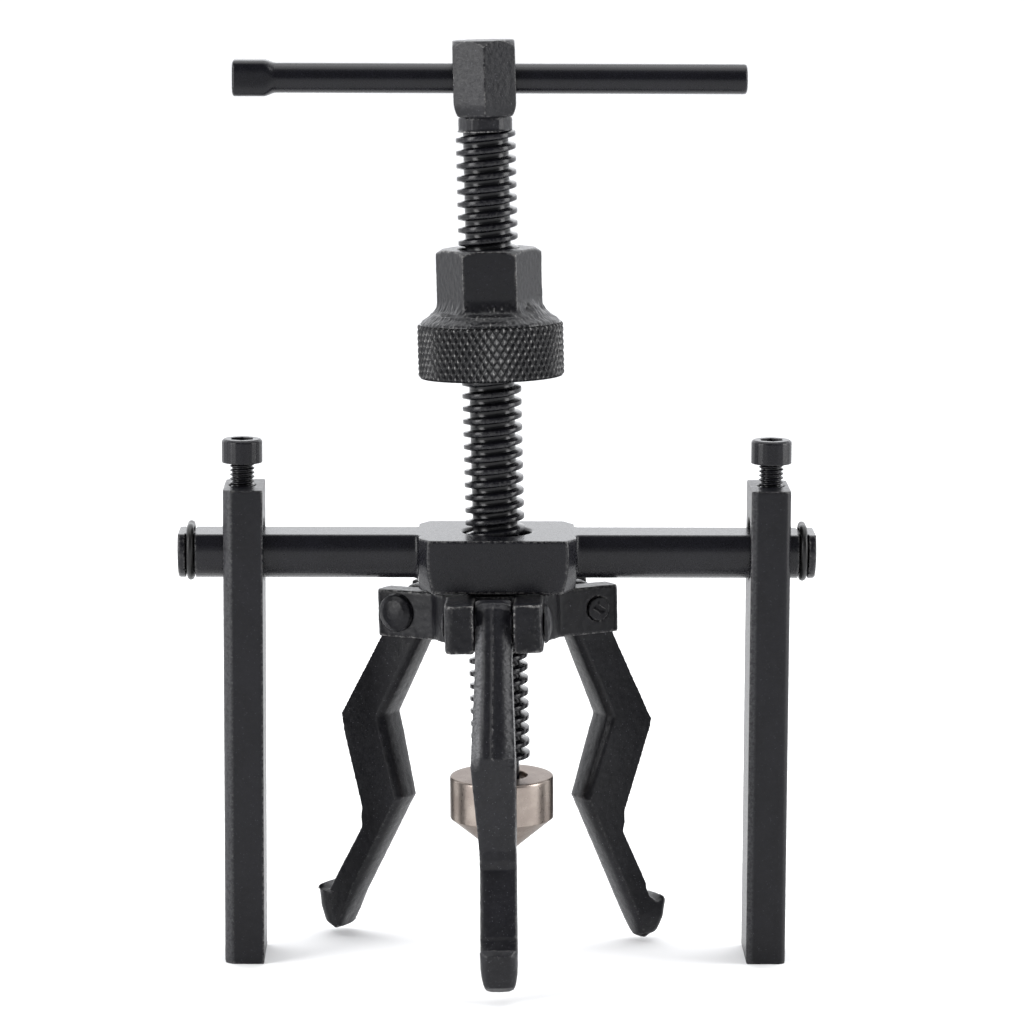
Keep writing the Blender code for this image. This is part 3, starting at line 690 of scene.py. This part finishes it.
def edge_by_radius(mesh, crest, width, matrix):
    """Mark a thread's crests and roots, for its finish."""
    co = local(coordinates(mesh), matrix)
    radius = np.hypot(co[:, 0], co[:, 1])
    store(mesh, "edge", np.clip((radius - crest + width) / width, 0, 1))
    store(mesh, "hollow", np.clip((crest - 3 * width - radius) / width, 0, 1))


# ---------------------------------------------------------------- pieces

def make_beam():
    obj = remeshed(from_cad("beam"), SKIN["beam"], 2)
    mark_edges(obj.data, 1.2, 1)
    piece(obj, "Beam", "frame", ["beam"], MACHINED)


def make_rings():
    for side in ("left", "right"):
        low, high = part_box(f"ring_{side}")
        middle, wire = (low + high) / 2, (high.x - low.x) / 2
        axis_z = low.z + (high.y - low.y) / 2
        around, top = (high.y - low.y) / 2 - wire, high.z - axis_z - wire
        points = []
        for i in range(96):
            a = 2 * math.pi * i / 96
            reach = around + (top - around) * max(0.0, math.sin(a)) ** 4
            points.append((middle.x, middle.y + reach * math.cos(a), axis_z + reach * math.sin(a)))
        piece(linked("ring", tube(points, wire)), f"Ring_{side}", "frame", [f"ring_{side}"], RUBBER)


def ease_corner(mesh, low, width, depth):
    """Ease the leg's front left corner, as ground by hand, and leave it a coarse skin."""
    co = coordinates(mesh)
    across = np.clip(1 - (co[:, 0] - low.x) / width, 0, 1)
    front = np.clip(1 - (co[:, 1] - low.y) / (3 * depth), 0, 1)
    co[:, 1] += depth * across ** 1.3 * front
    put(mesh, co)
    roughen(mesh, 0.05 * MM, 0.6 * MM, 50, 2, (across > 0) * (front > 0.5))
    store(mesh, "scale", 0.3 * np.clip(across * 3, 0, 1) * (front > 0.5))


def make_legs():
    for seed, side in enumerate(("left", "right")):
        obj = remeshed(from_cad(f"leg_{side}"), SKIN["leg"], 3)
        ease_corner(obj.data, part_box(f"leg_{side}")[0], *LEG_EASE[side])
        roughen(obj.data, 0.02 * MM, 1.5 * MM, seed)
        mark_edges(obj.data, 1.0, 1)
        piece(obj, f"Leg_{side}", f"{side}_leg", [f"leg_{side}"], MILLED)


def make_clamp_screws():
    for side in ("left", "right"):
        node, body = f"clamp_screw_{side}", f"{side}_clamp"
        low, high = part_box(node)
        base = high.z - CLAMP_HEAD_HEIGHT
        place = Matrix.Translation(((low.x + high.x) / 2, (low.y + high.y) / 2, low.z))
        head = from_cad(node)
        cut_flat(head, (0, 0, base - 0.01 * MM), (0, 0, -1))
        remeshed(head, SKIN["clamp"], 3)
        mark_edges(head.data, 1.0, 1)
        piece(head, f"ClampHead_{side}", body, [node], MACHINED)
        profile = thread_profile(CLAMP_CORE, CLAMP_RADIUS, CLAMP_PITCH, CLAMP_ROOT, CLAMP_CREST)
        rod = helicoid(profile, CLAMP_PITCH, 0, base - low.z + CLAMP_OVERLAP, 32)
        rod.transform(place)
        edge_by_radius(rod, CLAMP_RADIUS, 0.12 * MM, place)
        piece(linked("rod", rod), f"ClampThread_{side}", body, [node], THREADED)


def draw_in_head(mesh):
    """Belly the forged head out a little, draw it in at its foot, chamfer its top and ease its collar."""
    co = local(coordinates(mesh), SCREW)
    up = (co[:, 2] - HEAD_FOOT) / (HEAD_TOP - HEAD_FOOT)
    radius = np.hypot(co[:, 0], co[:, 1])
    above = co[:, 2] > HEAD_FOOT - 0.1 * MM
    outside = np.clip((radius - HEAD_INSIDE) / MM, 0, 1)
    foot = np.clip(1 - up / 0.17, 0, 1) ** 1.6
    change = outside * above * (HEAD_BELLY * np.sin(math.pi * np.clip(up, 0, 1)) ** 0.7 - HEAD_DRAW * foot)
    angle = np.arctan2(co[:, 1], co[:, 0])
    corner = np.abs(((angle / (math.pi / 3) + 0.5) % 1) - 0.5) * 2
    collar = (co[:, 2] < HEAD_FOOT - 0.1 * MM) * outside
    change -= collar * COLLAR_SOFT * corner
    chamfer = HEAD_CROWN + HEAD_CHAMFER * (HEAD_TOP - co[:, 2])
    reach = np.minimum(radius + change, np.maximum(chamfer, HEAD_CROWN))
    scale = np.where(radius > HEAD_INSIDE, reach / np.maximum(radius, MM), 1.0)
    co[:, 0] *= scale
    co[:, 1] *= scale
    put(mesh, world(co, SCREW))
    relax(mesh, 2)
    smooth_out(mesh, 14, np.clip(1 - np.abs(co[:, 2] - HEAD_FOOT) / (0.8 * MM), 0, 1))


def make_forcing_screw():
    profile = thread_profile(THREAD_CORE, THREAD_RADIUS, THREAD_PITCH, THREAD_ROOT, THREAD_CREST)
    rod = helicoid(profile, THREAD_PITCH, THREAD_BOTTOM, THREAD_TOP, 56, THREAD_PHASE)
    rod.transform(SCREW)
    edge_by_radius(rod, THREAD_RADIUS, 0.3 * MM, SCREW)
    piece(linked("rod", rod), "ScrewThread", "screw", ["forcing_screw"], THREADED)
    head = from_cad("forcing_screw")
    cut_flat(head, SCREW @ Vector((0, 0, HEAD_START)), -SCREW_UP)
    remeshed(head, SKIN["screw"], 3)
    draw_in_head(head.data)
    roughen(head.data, 0.035 * MM, 1.1 * MM, 3, 3)
    mark_edges(head.data, 1.3, 1)
    piece(head, "ScrewHead", "screw", ["forcing_screw"], FORGED)
    neck = from_cad("forcing_screw")
    cut_flat(neck, SCREW @ Vector((0, 0, THREAD_BOTTOM + NECK_OVERLAP)), SCREW_UP)
    remeshed(neck, SKIN["screw"], 2)
    mark_edges(neck.data)
    piece(neck, "ScrewNeck", "screw", ["forcing_screw"], THREADED)


def make_tommy_bar():
    low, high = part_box("tommy_bar")
    y, z = (low.y + high.y) / 2, (low.z + high.z) / 2
    upset = (high.z - low.z) / 2
    stations = []
    for t in (0, 0.3, 0.6, 0.85, 1.0):
        drop = BAR_SOFT * (1 - math.sqrt(1 - (1 - t) ** 2))
        stations.append((low.x + BAR_SOFT * t, upset - drop, BAR_SQUARE))
    upset_end = low.x + BAR_UPSET
    for t in (0.0, 0.15, 0.35, 0.55, 0.75, 0.9, 1.0):
        ease = t * t * (3 - 2 * t)
        half, square = upset + (BAR_RADIUS - upset) * ease, BAR_SQUARE - (BAR_SQUARE - 2) * ease
        stations.append((upset_end + BAR_TAPER * t, half, square))
    steps = 60
    for i in range(1, steps):
        x = upset_end + BAR_TAPER + (high.x - upset_end - BAR_TAPER - BAR_SOFT) * i / steps
        stations.append((x, BAR_RADIUS, 2.0))
    for t in (0.0, 0.4, 0.75, 1.0):
        drop = BAR_SOFT * (1 - math.sqrt(1 - t * t))
        stations.append((high.x - BAR_SOFT * (1 - t), BAR_RADIUS - drop, 2.0))
    mesh = lofted(stations, 64)
    mesh.transform(Matrix.Translation((0, y, z)))
    piece(linked("bar", mesh), "TommyBar", "bar", ["tommy_bar"], DRAWN)


def nut_lump():
    """A blunt round boss whose axis points outwards, sunk into the foot of one side."""
    outline = [(0, 2.6 * MM), (2.9 * MM, 2.6 * MM), (3.6 * MM, -2.5 * MM), (0, -2.5 * MM)]
    mesh = revolved(rounded(outline, 1.2 * MM), 32)
    mesh.transform(SCREW @ Matrix.Rotation(NUT_LUMP_TURN, 4, 'Z')
                   @ Matrix.Translation((NUT_HALF - 1.0 * MM, 0, NUT_LUMP_HEIGHT))
                   @ Matrix.Rotation(math.pi / 2, 4, 'Y'))
    return linked("lump", mesh)


def make_nut_body():
    """The hexagon and its shoulder, and inside the knurled ring a plain core."""
    obj = join(from_cad("nut"), nut_lump())
    remeshed(obj, SKIN["nut"], 4)
    co = local(coordinates(obj.data), SCREW)
    radius = np.hypot(co[:, 0], co[:, 1])
    seat = KNURL_RADIUS - KNURL_SEAT
    inward = np.where(radius > seat, seat / radius, 1.0)
    co[:, 0] *= inward
    co[:, 1] *= inward
    # the hexagon's sides flare out into the shoulder, as forged
    flare = NUT_FLARE * np.clip((NUT_FLARE_TOP - co[:, 2]) / (4.5 * MM), 0, 1) ** 2.2
    side = np.clip((14.2 * MM - radius) / (1.5 * MM), 0, 1) * np.clip((radius - 8.2 * MM) / MM, 0, 1)
    side *= np.clip((co[:, 2] - NUT_FLARE_BOTTOM) / (1.2 * MM), 0, 1)
    push = 1 + flare * side / np.maximum(radius, MM)
    co[:, 0] *= push
    co[:, 1] *= push
    put(obj.data, world(co, SCREW))
    relax(obj.data, 3)
    shoulder = np.clip((NUT_FLARE_TOP - co[:, 2]) / (2 * MM), 0, 1) * (co[:, 2] > KNURL_TOP - MM)
    smooth_out(obj.data, 34, shoulder)
    milled_face = np.abs(co[:, 1] + NUT_HALF) < 0.35 * MM
    rough = np.where(milled_face, 0.1, 1.0)
    roughen(obj.data, 0.045 * MM, 1.0 * MM, 5, 3, rough)
    co = local(coordinates(obj.data), SCREW)
    angle = np.arctan2(co[:, 1], co[:, 0])
    fibre = np.column_stack((angle * 12 * MM, co[:, 2] * 0.35, np.hypot(co[:, 0], co[:, 1]) * 0.35))
    streaks = NUT_FIBRE * shoulder * noise_at(fibre, 0.55 * MM, 6, 2)
    put(obj.data, coordinates(obj.data) + normals(obj.data) * streaks[:, None])
    mark_edges(obj.data, 1.3, 1)
    piece(obj, "NutBody", "draw_nut", ["nut"], FORGED_FINE)


def make_nut_knurl():
    """The knurled ring: two families of crossing grooves that leave diamonds."""
    cell = 2 * math.pi * KNURL_RADIUS / KNURL_COUNT
    rise = cell / math.tan(KNURL_SLOPE)
    steps = KNURL_COUNT * KNURL_FINE
    rows = round((KNURL_TOP - KNURL_BOTTOM) / rise * KNURL_FINE)
    heights = [KNURL_TOP - (KNURL_TOP - KNURL_BOTTOM) * i / rows for i in range(rows + 1)]
    inner = KNURL_RADIUS - 1.6 * MM
    profile = [(inner, KNURL_TOP + 0.1 * MM), (KNURL_RADIUS - KNURL_DEPTH, KNURL_TOP + 0.1 * MM)]
    profile += [(KNURL_RADIUS, h) for h in heights]
    profile += [(KNURL_RADIUS - KNURL_DEPTH, KNURL_BOTTOM - 0.1 * MM), (inner, KNURL_BOTTOM - 0.1 * MM)]
    mesh = revolved(profile, steps, closed=True)
    co = coordinates(mesh)
    radius, angle = np.hypot(co[:, 0], co[:, 1]), np.arctan2(co[:, 1], co[:, 0])
    on_side = radius > KNURL_RADIUS - KNURL_DEPTH / 2
    around, up = angle * KNURL_RADIUS / cell, co[:, 2] / rise
    rising, falling = ((1 - np.abs(2 * (turn % 1) - 1)) for turn in (around + up, around - up))
    ridge = np.minimum(np.minimum(rising, falling) / 0.86, 1)
    ends = np.minimum((KNURL_TOP - co[:, 2]), (co[:, 2] - KNURL_BOTTOM)) / (0.7 * MM)
    fade = np.clip(ends, 0, 1)
    wobble = noise_at(co, 2.2 * MM, 9, 1)
    depth = KNURL_DEPTH * (1 - ridge * (0.96 + 0.12 * wobble)) + 0.35 * MM * (1 - fade) ** 2
    scale = np.where(on_side, (KNURL_RADIUS - np.clip(depth, 0, MM)) / radius, 1.0)
    co[:, 0] *= scale
    co[:, 1] *= scale
    put(mesh, co)
    mesh.transform(SCREW)
    store(mesh, "edge", np.where(on_side, np.clip((ridge - 0.62) / 0.38, 0, 1), 0.2))
    store(mesh, "hollow", np.where(on_side, np.clip((0.3 - ridge) / 0.3, 0, 1), 0.0))
    piece(linked("knurl", mesh), "NutKnurl", "draw_nut", ["nut"], KNURLED, 25)


def make_carrier():
    obj = remeshed(from_cad("carrier"), SKIN["carrier"], 3)
    smooth_out(obj.data, 7, np.ones(len(obj.data.vertices)))
    roughen(obj.data, 0.06 * MM, 1.8 * MM, 11, 3)
    mark_edges(obj.data, 1.5, 1)
    piece(obj, "Carrier", "jaw_carrier", ["carrier"], FORGED_DULL)


def peen_tail(mesh, place):
    """Spread the rivet's plain end with a chisel: one crooked cut with raised lips."""
    co = local(coordinates(mesh), place)
    radius = np.hypot(co[:, 0], co[:, 1])
    widest = co[np.argmax(radius), 2]
    tail = -math.copysign(1.0, widest)
    end = (co[:, 2] * tail).max()
    near = np.clip((co[:, 2] * tail - end + 0.5 * MM) / (0.3 * MM), 0, 1)
    across = co[:, 0] * 0.8 + co[:, 1] * 0.6 + 0.5 * MM * np.sin(co[:, 1] / (0.6 * MM))
    along = co[:, 1] * 0.8 - co[:, 0] * 0.6
    reach = np.clip((1.5 * MM - np.abs(along)) / (0.6 * MM), 0, 1)
    cut = 0.5 * MM * np.clip(1 - np.abs(across) / (0.95 * MM), 0, 1)
    lips = 0.25 * MM * np.clip(1 - np.abs(np.abs(across) - 1.15 * MM) / (0.35 * MM), 0, 1)
    co[:, 2] -= tail * near * reach * (cut - lips)
    put(mesh, world(co, place))


def make_rivets():
    for seed, name in enumerate(("front", "right", "left")):
        obj = remeshed(from_cad(f"rivet_{name}"), SKIN["rivet"], 3)
        peen_tail(obj.data, JAWS[name])
        roughen(obj.data, 0.03 * MM, 1.2 * MM, 20 + seed)
        mark_edges(obj.data, 0.5, 1)
        piece(obj, f"Rivet_{name}", "jaw_carrier", [f"rivet_{name}"], FORGED_DULL)


def carry_sides(co, shift, corners, sides):
    """Let the broad sides follow the corners that were sunk, less and less away from them."""
    rows = np.nonzero(corners)[0]
    tree = KDTree(len(rows))
    for row in rows:
        tree.insert(co[row], int(row))
    tree.balance()
    depth = np.hypot(shift[:, 0], shift[:, 1])
    for row in np.nonzero(sides)[0]:
        _, corner, distance = tree.find(co[row])
        reach = 2.4 * depth[corner] + 0.3 * MM
        if distance < reach:
            shift[row] = shift[corner] * (1 - distance / reach)


def forge_jaw(mesh, place, lean, depth):
    """Shape the jaw as forged. The upper limb has a ridge down the middle of its outer face, between bevels
    of that depth, and a rounded inner face. The elbow is thicker and leans to one side. The hook has a
    hollow above its lip and rounded lower corners. Deep bevels keep pale scale, most of it on one side."""
    co = local(coordinates(mesh), place)
    n = normals(mesh) @ np.array(place.to_3x3())
    level = co[:, 1]
    swell = 1 + JAW_SWELL * np.interp(level, (-50 * MM, -31 * MM, -25 * MM, -9 * MM), (0, 1, 0.8, 0))
    upper = np.interp(level, (-31 * MM, -27.5 * MM, 0.0, 4 * MM), (0, 1, 1, 0.8))
    outwards = np.clip(n[:, 0] * 2.5, 0, 1)
    narrow = np.clip((np.hypot(n[:, 0], n[:, 1]) - 0.35) / 0.4, 0, 1)
    off = np.abs(co[:, 2]) / JAW_HALF
    turn = np.clip((off - JAW_FLAT) / (1 - JAW_FLAT), 0, 1)
    plain = JAW_ROUND * (1 - np.sqrt(1 - turn ** 2))
    bevel = depth * np.clip((off - JAW_BAND) / (1 - JAW_BAND), 0, 1)
    inwards = np.clip(-n[:, 0] * 2.5, 0, 1)
    belly = np.clip((off - 0.12) / 0.9, 0, 0.97)
    belly = JAW_BELLY * (1 - np.sqrt(1 - belly ** 2)) * np.clip((4 * MM - level) / (4 * MM), 0, 1)
    sink = plain + upper * outwards * (bevel + 0.3 * plain) + inwards * belly
    strip = upper * outwards * np.clip((off - JAW_BAND - 0.1) / 0.12, 0, 1)
    strip = strip * np.where(co[:, 2] > 0, 1.0, 0.1) * (level < 1 * MM) * (depth > MM)
    hollow = np.clip((-level - JAW_NOTCH) / (0.3 * MM), 0, 1) * (co[:, 0] < 23.2 * MM) * (level > -73 * MM)
    sink += 0.5 * MM * hollow * outwards
    co[:, 1] += 0.9 * MM * np.clip(n[:, 1], 0, 1) * np.clip((level - 1.5 * MM) / (2 * MM), 0, 1)
    flat = n[:, :2] / np.maximum(np.hypot(n[:, 0], n[:, 1]), 1e-6)[:, None]
    shift = flat * (sink * narrow)[:, None]
    carry_sides(co, shift, (narrow > 0.6) & (off > 0.8), narrow <= 0.6)
    ends = edge_ends(mesh)
    for _ in range(4):
        shift = neighbour_mean(shift, ends, len(co))
    ridge = JAW_RIDGE * np.clip(1 - off / 0.14, 0, 1) - JAW_RIDGE
    co[:, :2] += flat * (upper * outwards * narrow * ridge)[:, None]
    co[:, :2] -= shift
    hook = np.clip((-level - 75.5 * MM) / (6.8 * MM), 0, 1)
    co[:, 2] *= swell * (1 - 0.42 * (1 - np.sqrt(1 - hook ** 2)))
    bow = np.clip((co[:, 0] - 20 * MM) / (5 * MM), 0, 1) * (level < -71 * MM)
    co[:, 0] -= bow * 1.1 * MM * (co[:, 2] / JAW_HALF) ** 2
    co[:, 2] += lean * np.interp(level, (-55 * MM, -30 * MM, -5 * MM), (0, 0.75, 0.25))
    put(mesh, world(co, place))
    relax(mesh, 1)
    roughen(mesh, 0.10 * MM, 0.6 * MM, 40, 2, strip > 0.02)
    store(mesh, "scale", strip)


def make_jaws():
    for seed, name in enumerate(("front", "right", "left")):
        obj = remeshed(from_cad(f"jaw_{name}"), SKIN["jaw"], 3)
        forge_jaw(obj.data, JAWS[name], JAW_LEAN[name], JAW_BEVEL[name])
        roughen(obj.data, 0.05 * MM, 2.0 * MM, 30 + seed, 3)
        mark_edges(obj.data, 0.7, 1)
        piece(obj, f"Jaw_{name}", f"{name}_jaw", [f"jaw_{name}"], FORGED)


def make_cone():
    """The cone with its stepped bore. Its outline is cut finely, for even shading."""
    profile = [(0, CONE_FLOOR), (CONE_BORE, CONE_FLOOR), (CONE_BORE, CONE_MOUTH_FLOOR),
               (CONE_MOUTH, CONE_MOUTH_FLOOR), (CONE_MOUTH, CONE_TOP), (CONE_RADIUS, CONE_TOP),
               (CONE_RADIUS, CONE_SIDE_BOTTOM), (1.2 * MM, CONE_TIP + 0.3 * MM), (0, CONE_TIP)]
    radii = [0, 0.2 * MM, 0.2 * MM, 0.2 * MM, 0.3 * MM, 0.7 * MM, 0.25 * MM, 0.6 * MM, 0]
    dense = []
    outline = rounded(profile, radii, 6)
    for (r0, h0), (r1, h1) in zip(outline, outline[1:]):
        pieces = max(1, round(math.hypot(r1 - r0, h1 - h0) / (1.2 * MM)))
        dense += [(r0 + (r1 - r0) * k / pieces, h0 + (h1 - h0) * k / pieces) for k in range(pieces)]
    dense.append(outline[-1])
    mesh = revolved(dense, 144)
    middle = Vector((0, 0, (CONE_TOP + CONE_SIDE_BOTTOM) / 2))
    mesh.transform(SCREW @ Matrix.Translation(middle) @ Matrix.Rotation(CONE_SAG, 4, 'X')
                   @ Matrix.Rotation(CONE_ROLL, 4, 'Y') @ Matrix.Translation(-middle))
    piece(linked("cone", mesh), "Cone", "spreader", ["cone"], NICKEL, 50)


def make_keeper():
    low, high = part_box("cone_keeper")
    centre = (low + high) / 2
    points = []
    for i in range(64):
        a = 2 * math.pi * i / 64
        points.append(Matrix.Translation(centre) @ SCREW.to_3x3().to_4x4()
                      @ Vector((KEEPER_RADIUS * math.cos(a), KEEPER_RADIUS * math.sin(a), 0)))
    piece(linked("keeper", tube(points, KEEPER_WIRE, 12)), "ConeKeeper", "spreader", ["cone_keeper"],
          WIRE)


make_beam()
make_rings()
make_legs()
make_clamp_screws()
make_forcing_screw()
make_tommy_bar()
make_nut_body()
make_nut_knurl()
make_carrier()
make_rivets()
make_jaws()
make_cone()
make_keeper()


# ---------------------------------------------------------------- stage, light and camera

# The floor reaches much further back than forwards, so that its far edge is never seen.
floor = linked("floor", mesh_of([(-20, -20, 0), (20, -20, 0), (20, 40, 0), (-20, 40, 0)], [(0, 1, 2, 3)]))
floor.data.materials.append(pale_floor("pale_floor"))


def soft_light(name, location, target, width, height, power):
    data = bpy.data.lights.new(name, 'AREA')
    data.shape = 'RECTANGLE'
    data.size, data.size_y, data.energy = width, height, power
    obj = bpy.data.objects.new(name, data)
    bpy.context.scene.collection.objects.link(obj)
    obj.location = location
    obj.rotation_euler = (Vector(target) - Vector(location)).to_track_quat('-Z', 'Y').to_euler()
    return obj


MIDDLE = (CAD_LOW + CAD_HIGH) / 2
soft_light("overhead", (0, 0.15, 1.2), MIDDLE, width=1.2, height=0.9, power=7)
soft_light("left_strip", (-0.92, -0.5, 0.35), MIDDLE, width=0.45, height=0.9, power=11)
soft_light("right_strip", (1.0, -0.12, 0.35), MIDDLE, width=0.45, height=0.9, power=9)


def studio_world(front, back, seen):
    """Soft light all round: dim from the front of the room, bright from the white wall at its back, and an
    even white where the wall itself is seen."""
    studio = bpy.data.worlds.new("studio")
    studio.use_nodes = True
    tree = studio.node_tree
    place = tree.nodes.new('ShaderNodeTexCoord')
    split = tree.nodes.new('ShaderNodeSeparateXYZ')
    tree.links.new(place.outputs["Generated"], split.inputs["Vector"])
    blend = tree.nodes.new('ShaderNodeMapRange')
    blend.interpolation_type = 'SMOOTHSTEP'
    tree.links.new(split.outputs["Y"], blend.inputs["Value"])
    for key, number in (("From Min", -0.75), ("From Max", 0.7), ("To Min", front), ("To Max", back)):
        blend.inputs[key].default_value = number
    path = tree.nodes.new('ShaderNodeLightPath')
    pick = tree.nodes.new('ShaderNodeMix')
    tree.links.new(path.outputs["Is Camera Ray"], pick.inputs["Factor"])
    tree.links.new(blend.outputs["Result"], pick.inputs["A"])
    pick.inputs["B"].default_value = seen
    tree.links.new(pick.outputs["Result"], tree.nodes["Background"].inputs["Strength"])
    tree.nodes["Background"].inputs["Color"].default_value = (0.965, 0.975, 1.0, 1.0)
    bpy.context.scene.world = studio


studio_world(front=0.18, back=2.1, seen=1.05)
bpy.context.scene.view_settings.view_transform = 'Standard'

# The camera, fitted to the photograph's view of the beam, the legs and the screw
CAMERA_PLACE = (-0.01268, -1.06865, 0.2791)
CAMERA_PAN, CAMERA_DIP, CAMERA_ROLL = math.radians(-0.86), math.radians(90 - 9.05), math.radians(0.25)
CAMERA_LENS = 162.93                  # millimetres, on a 36 mm sensor

camera_data = bpy.data.cameras.new("camera")
camera_data.sensor_width, camera_data.lens, camera_data.clip_start = 36.0, CAMERA_LENS, 0.01
camera = bpy.data.objects.new("camera", camera_data)
bpy.context.scene.collection.objects.link(camera)
camera.matrix_world = (Matrix.Translation(CAMERA_PLACE)
                       @ Matrix.Rotation(CAMERA_PAN, 4, 'Z')
                       @ Matrix.Rotation(CAMERA_DIP, 4, 'X')
                       @ Matrix.Rotation(CAMERA_ROLL, 4, 'Z'))
bpy.context.scene.camera = camera
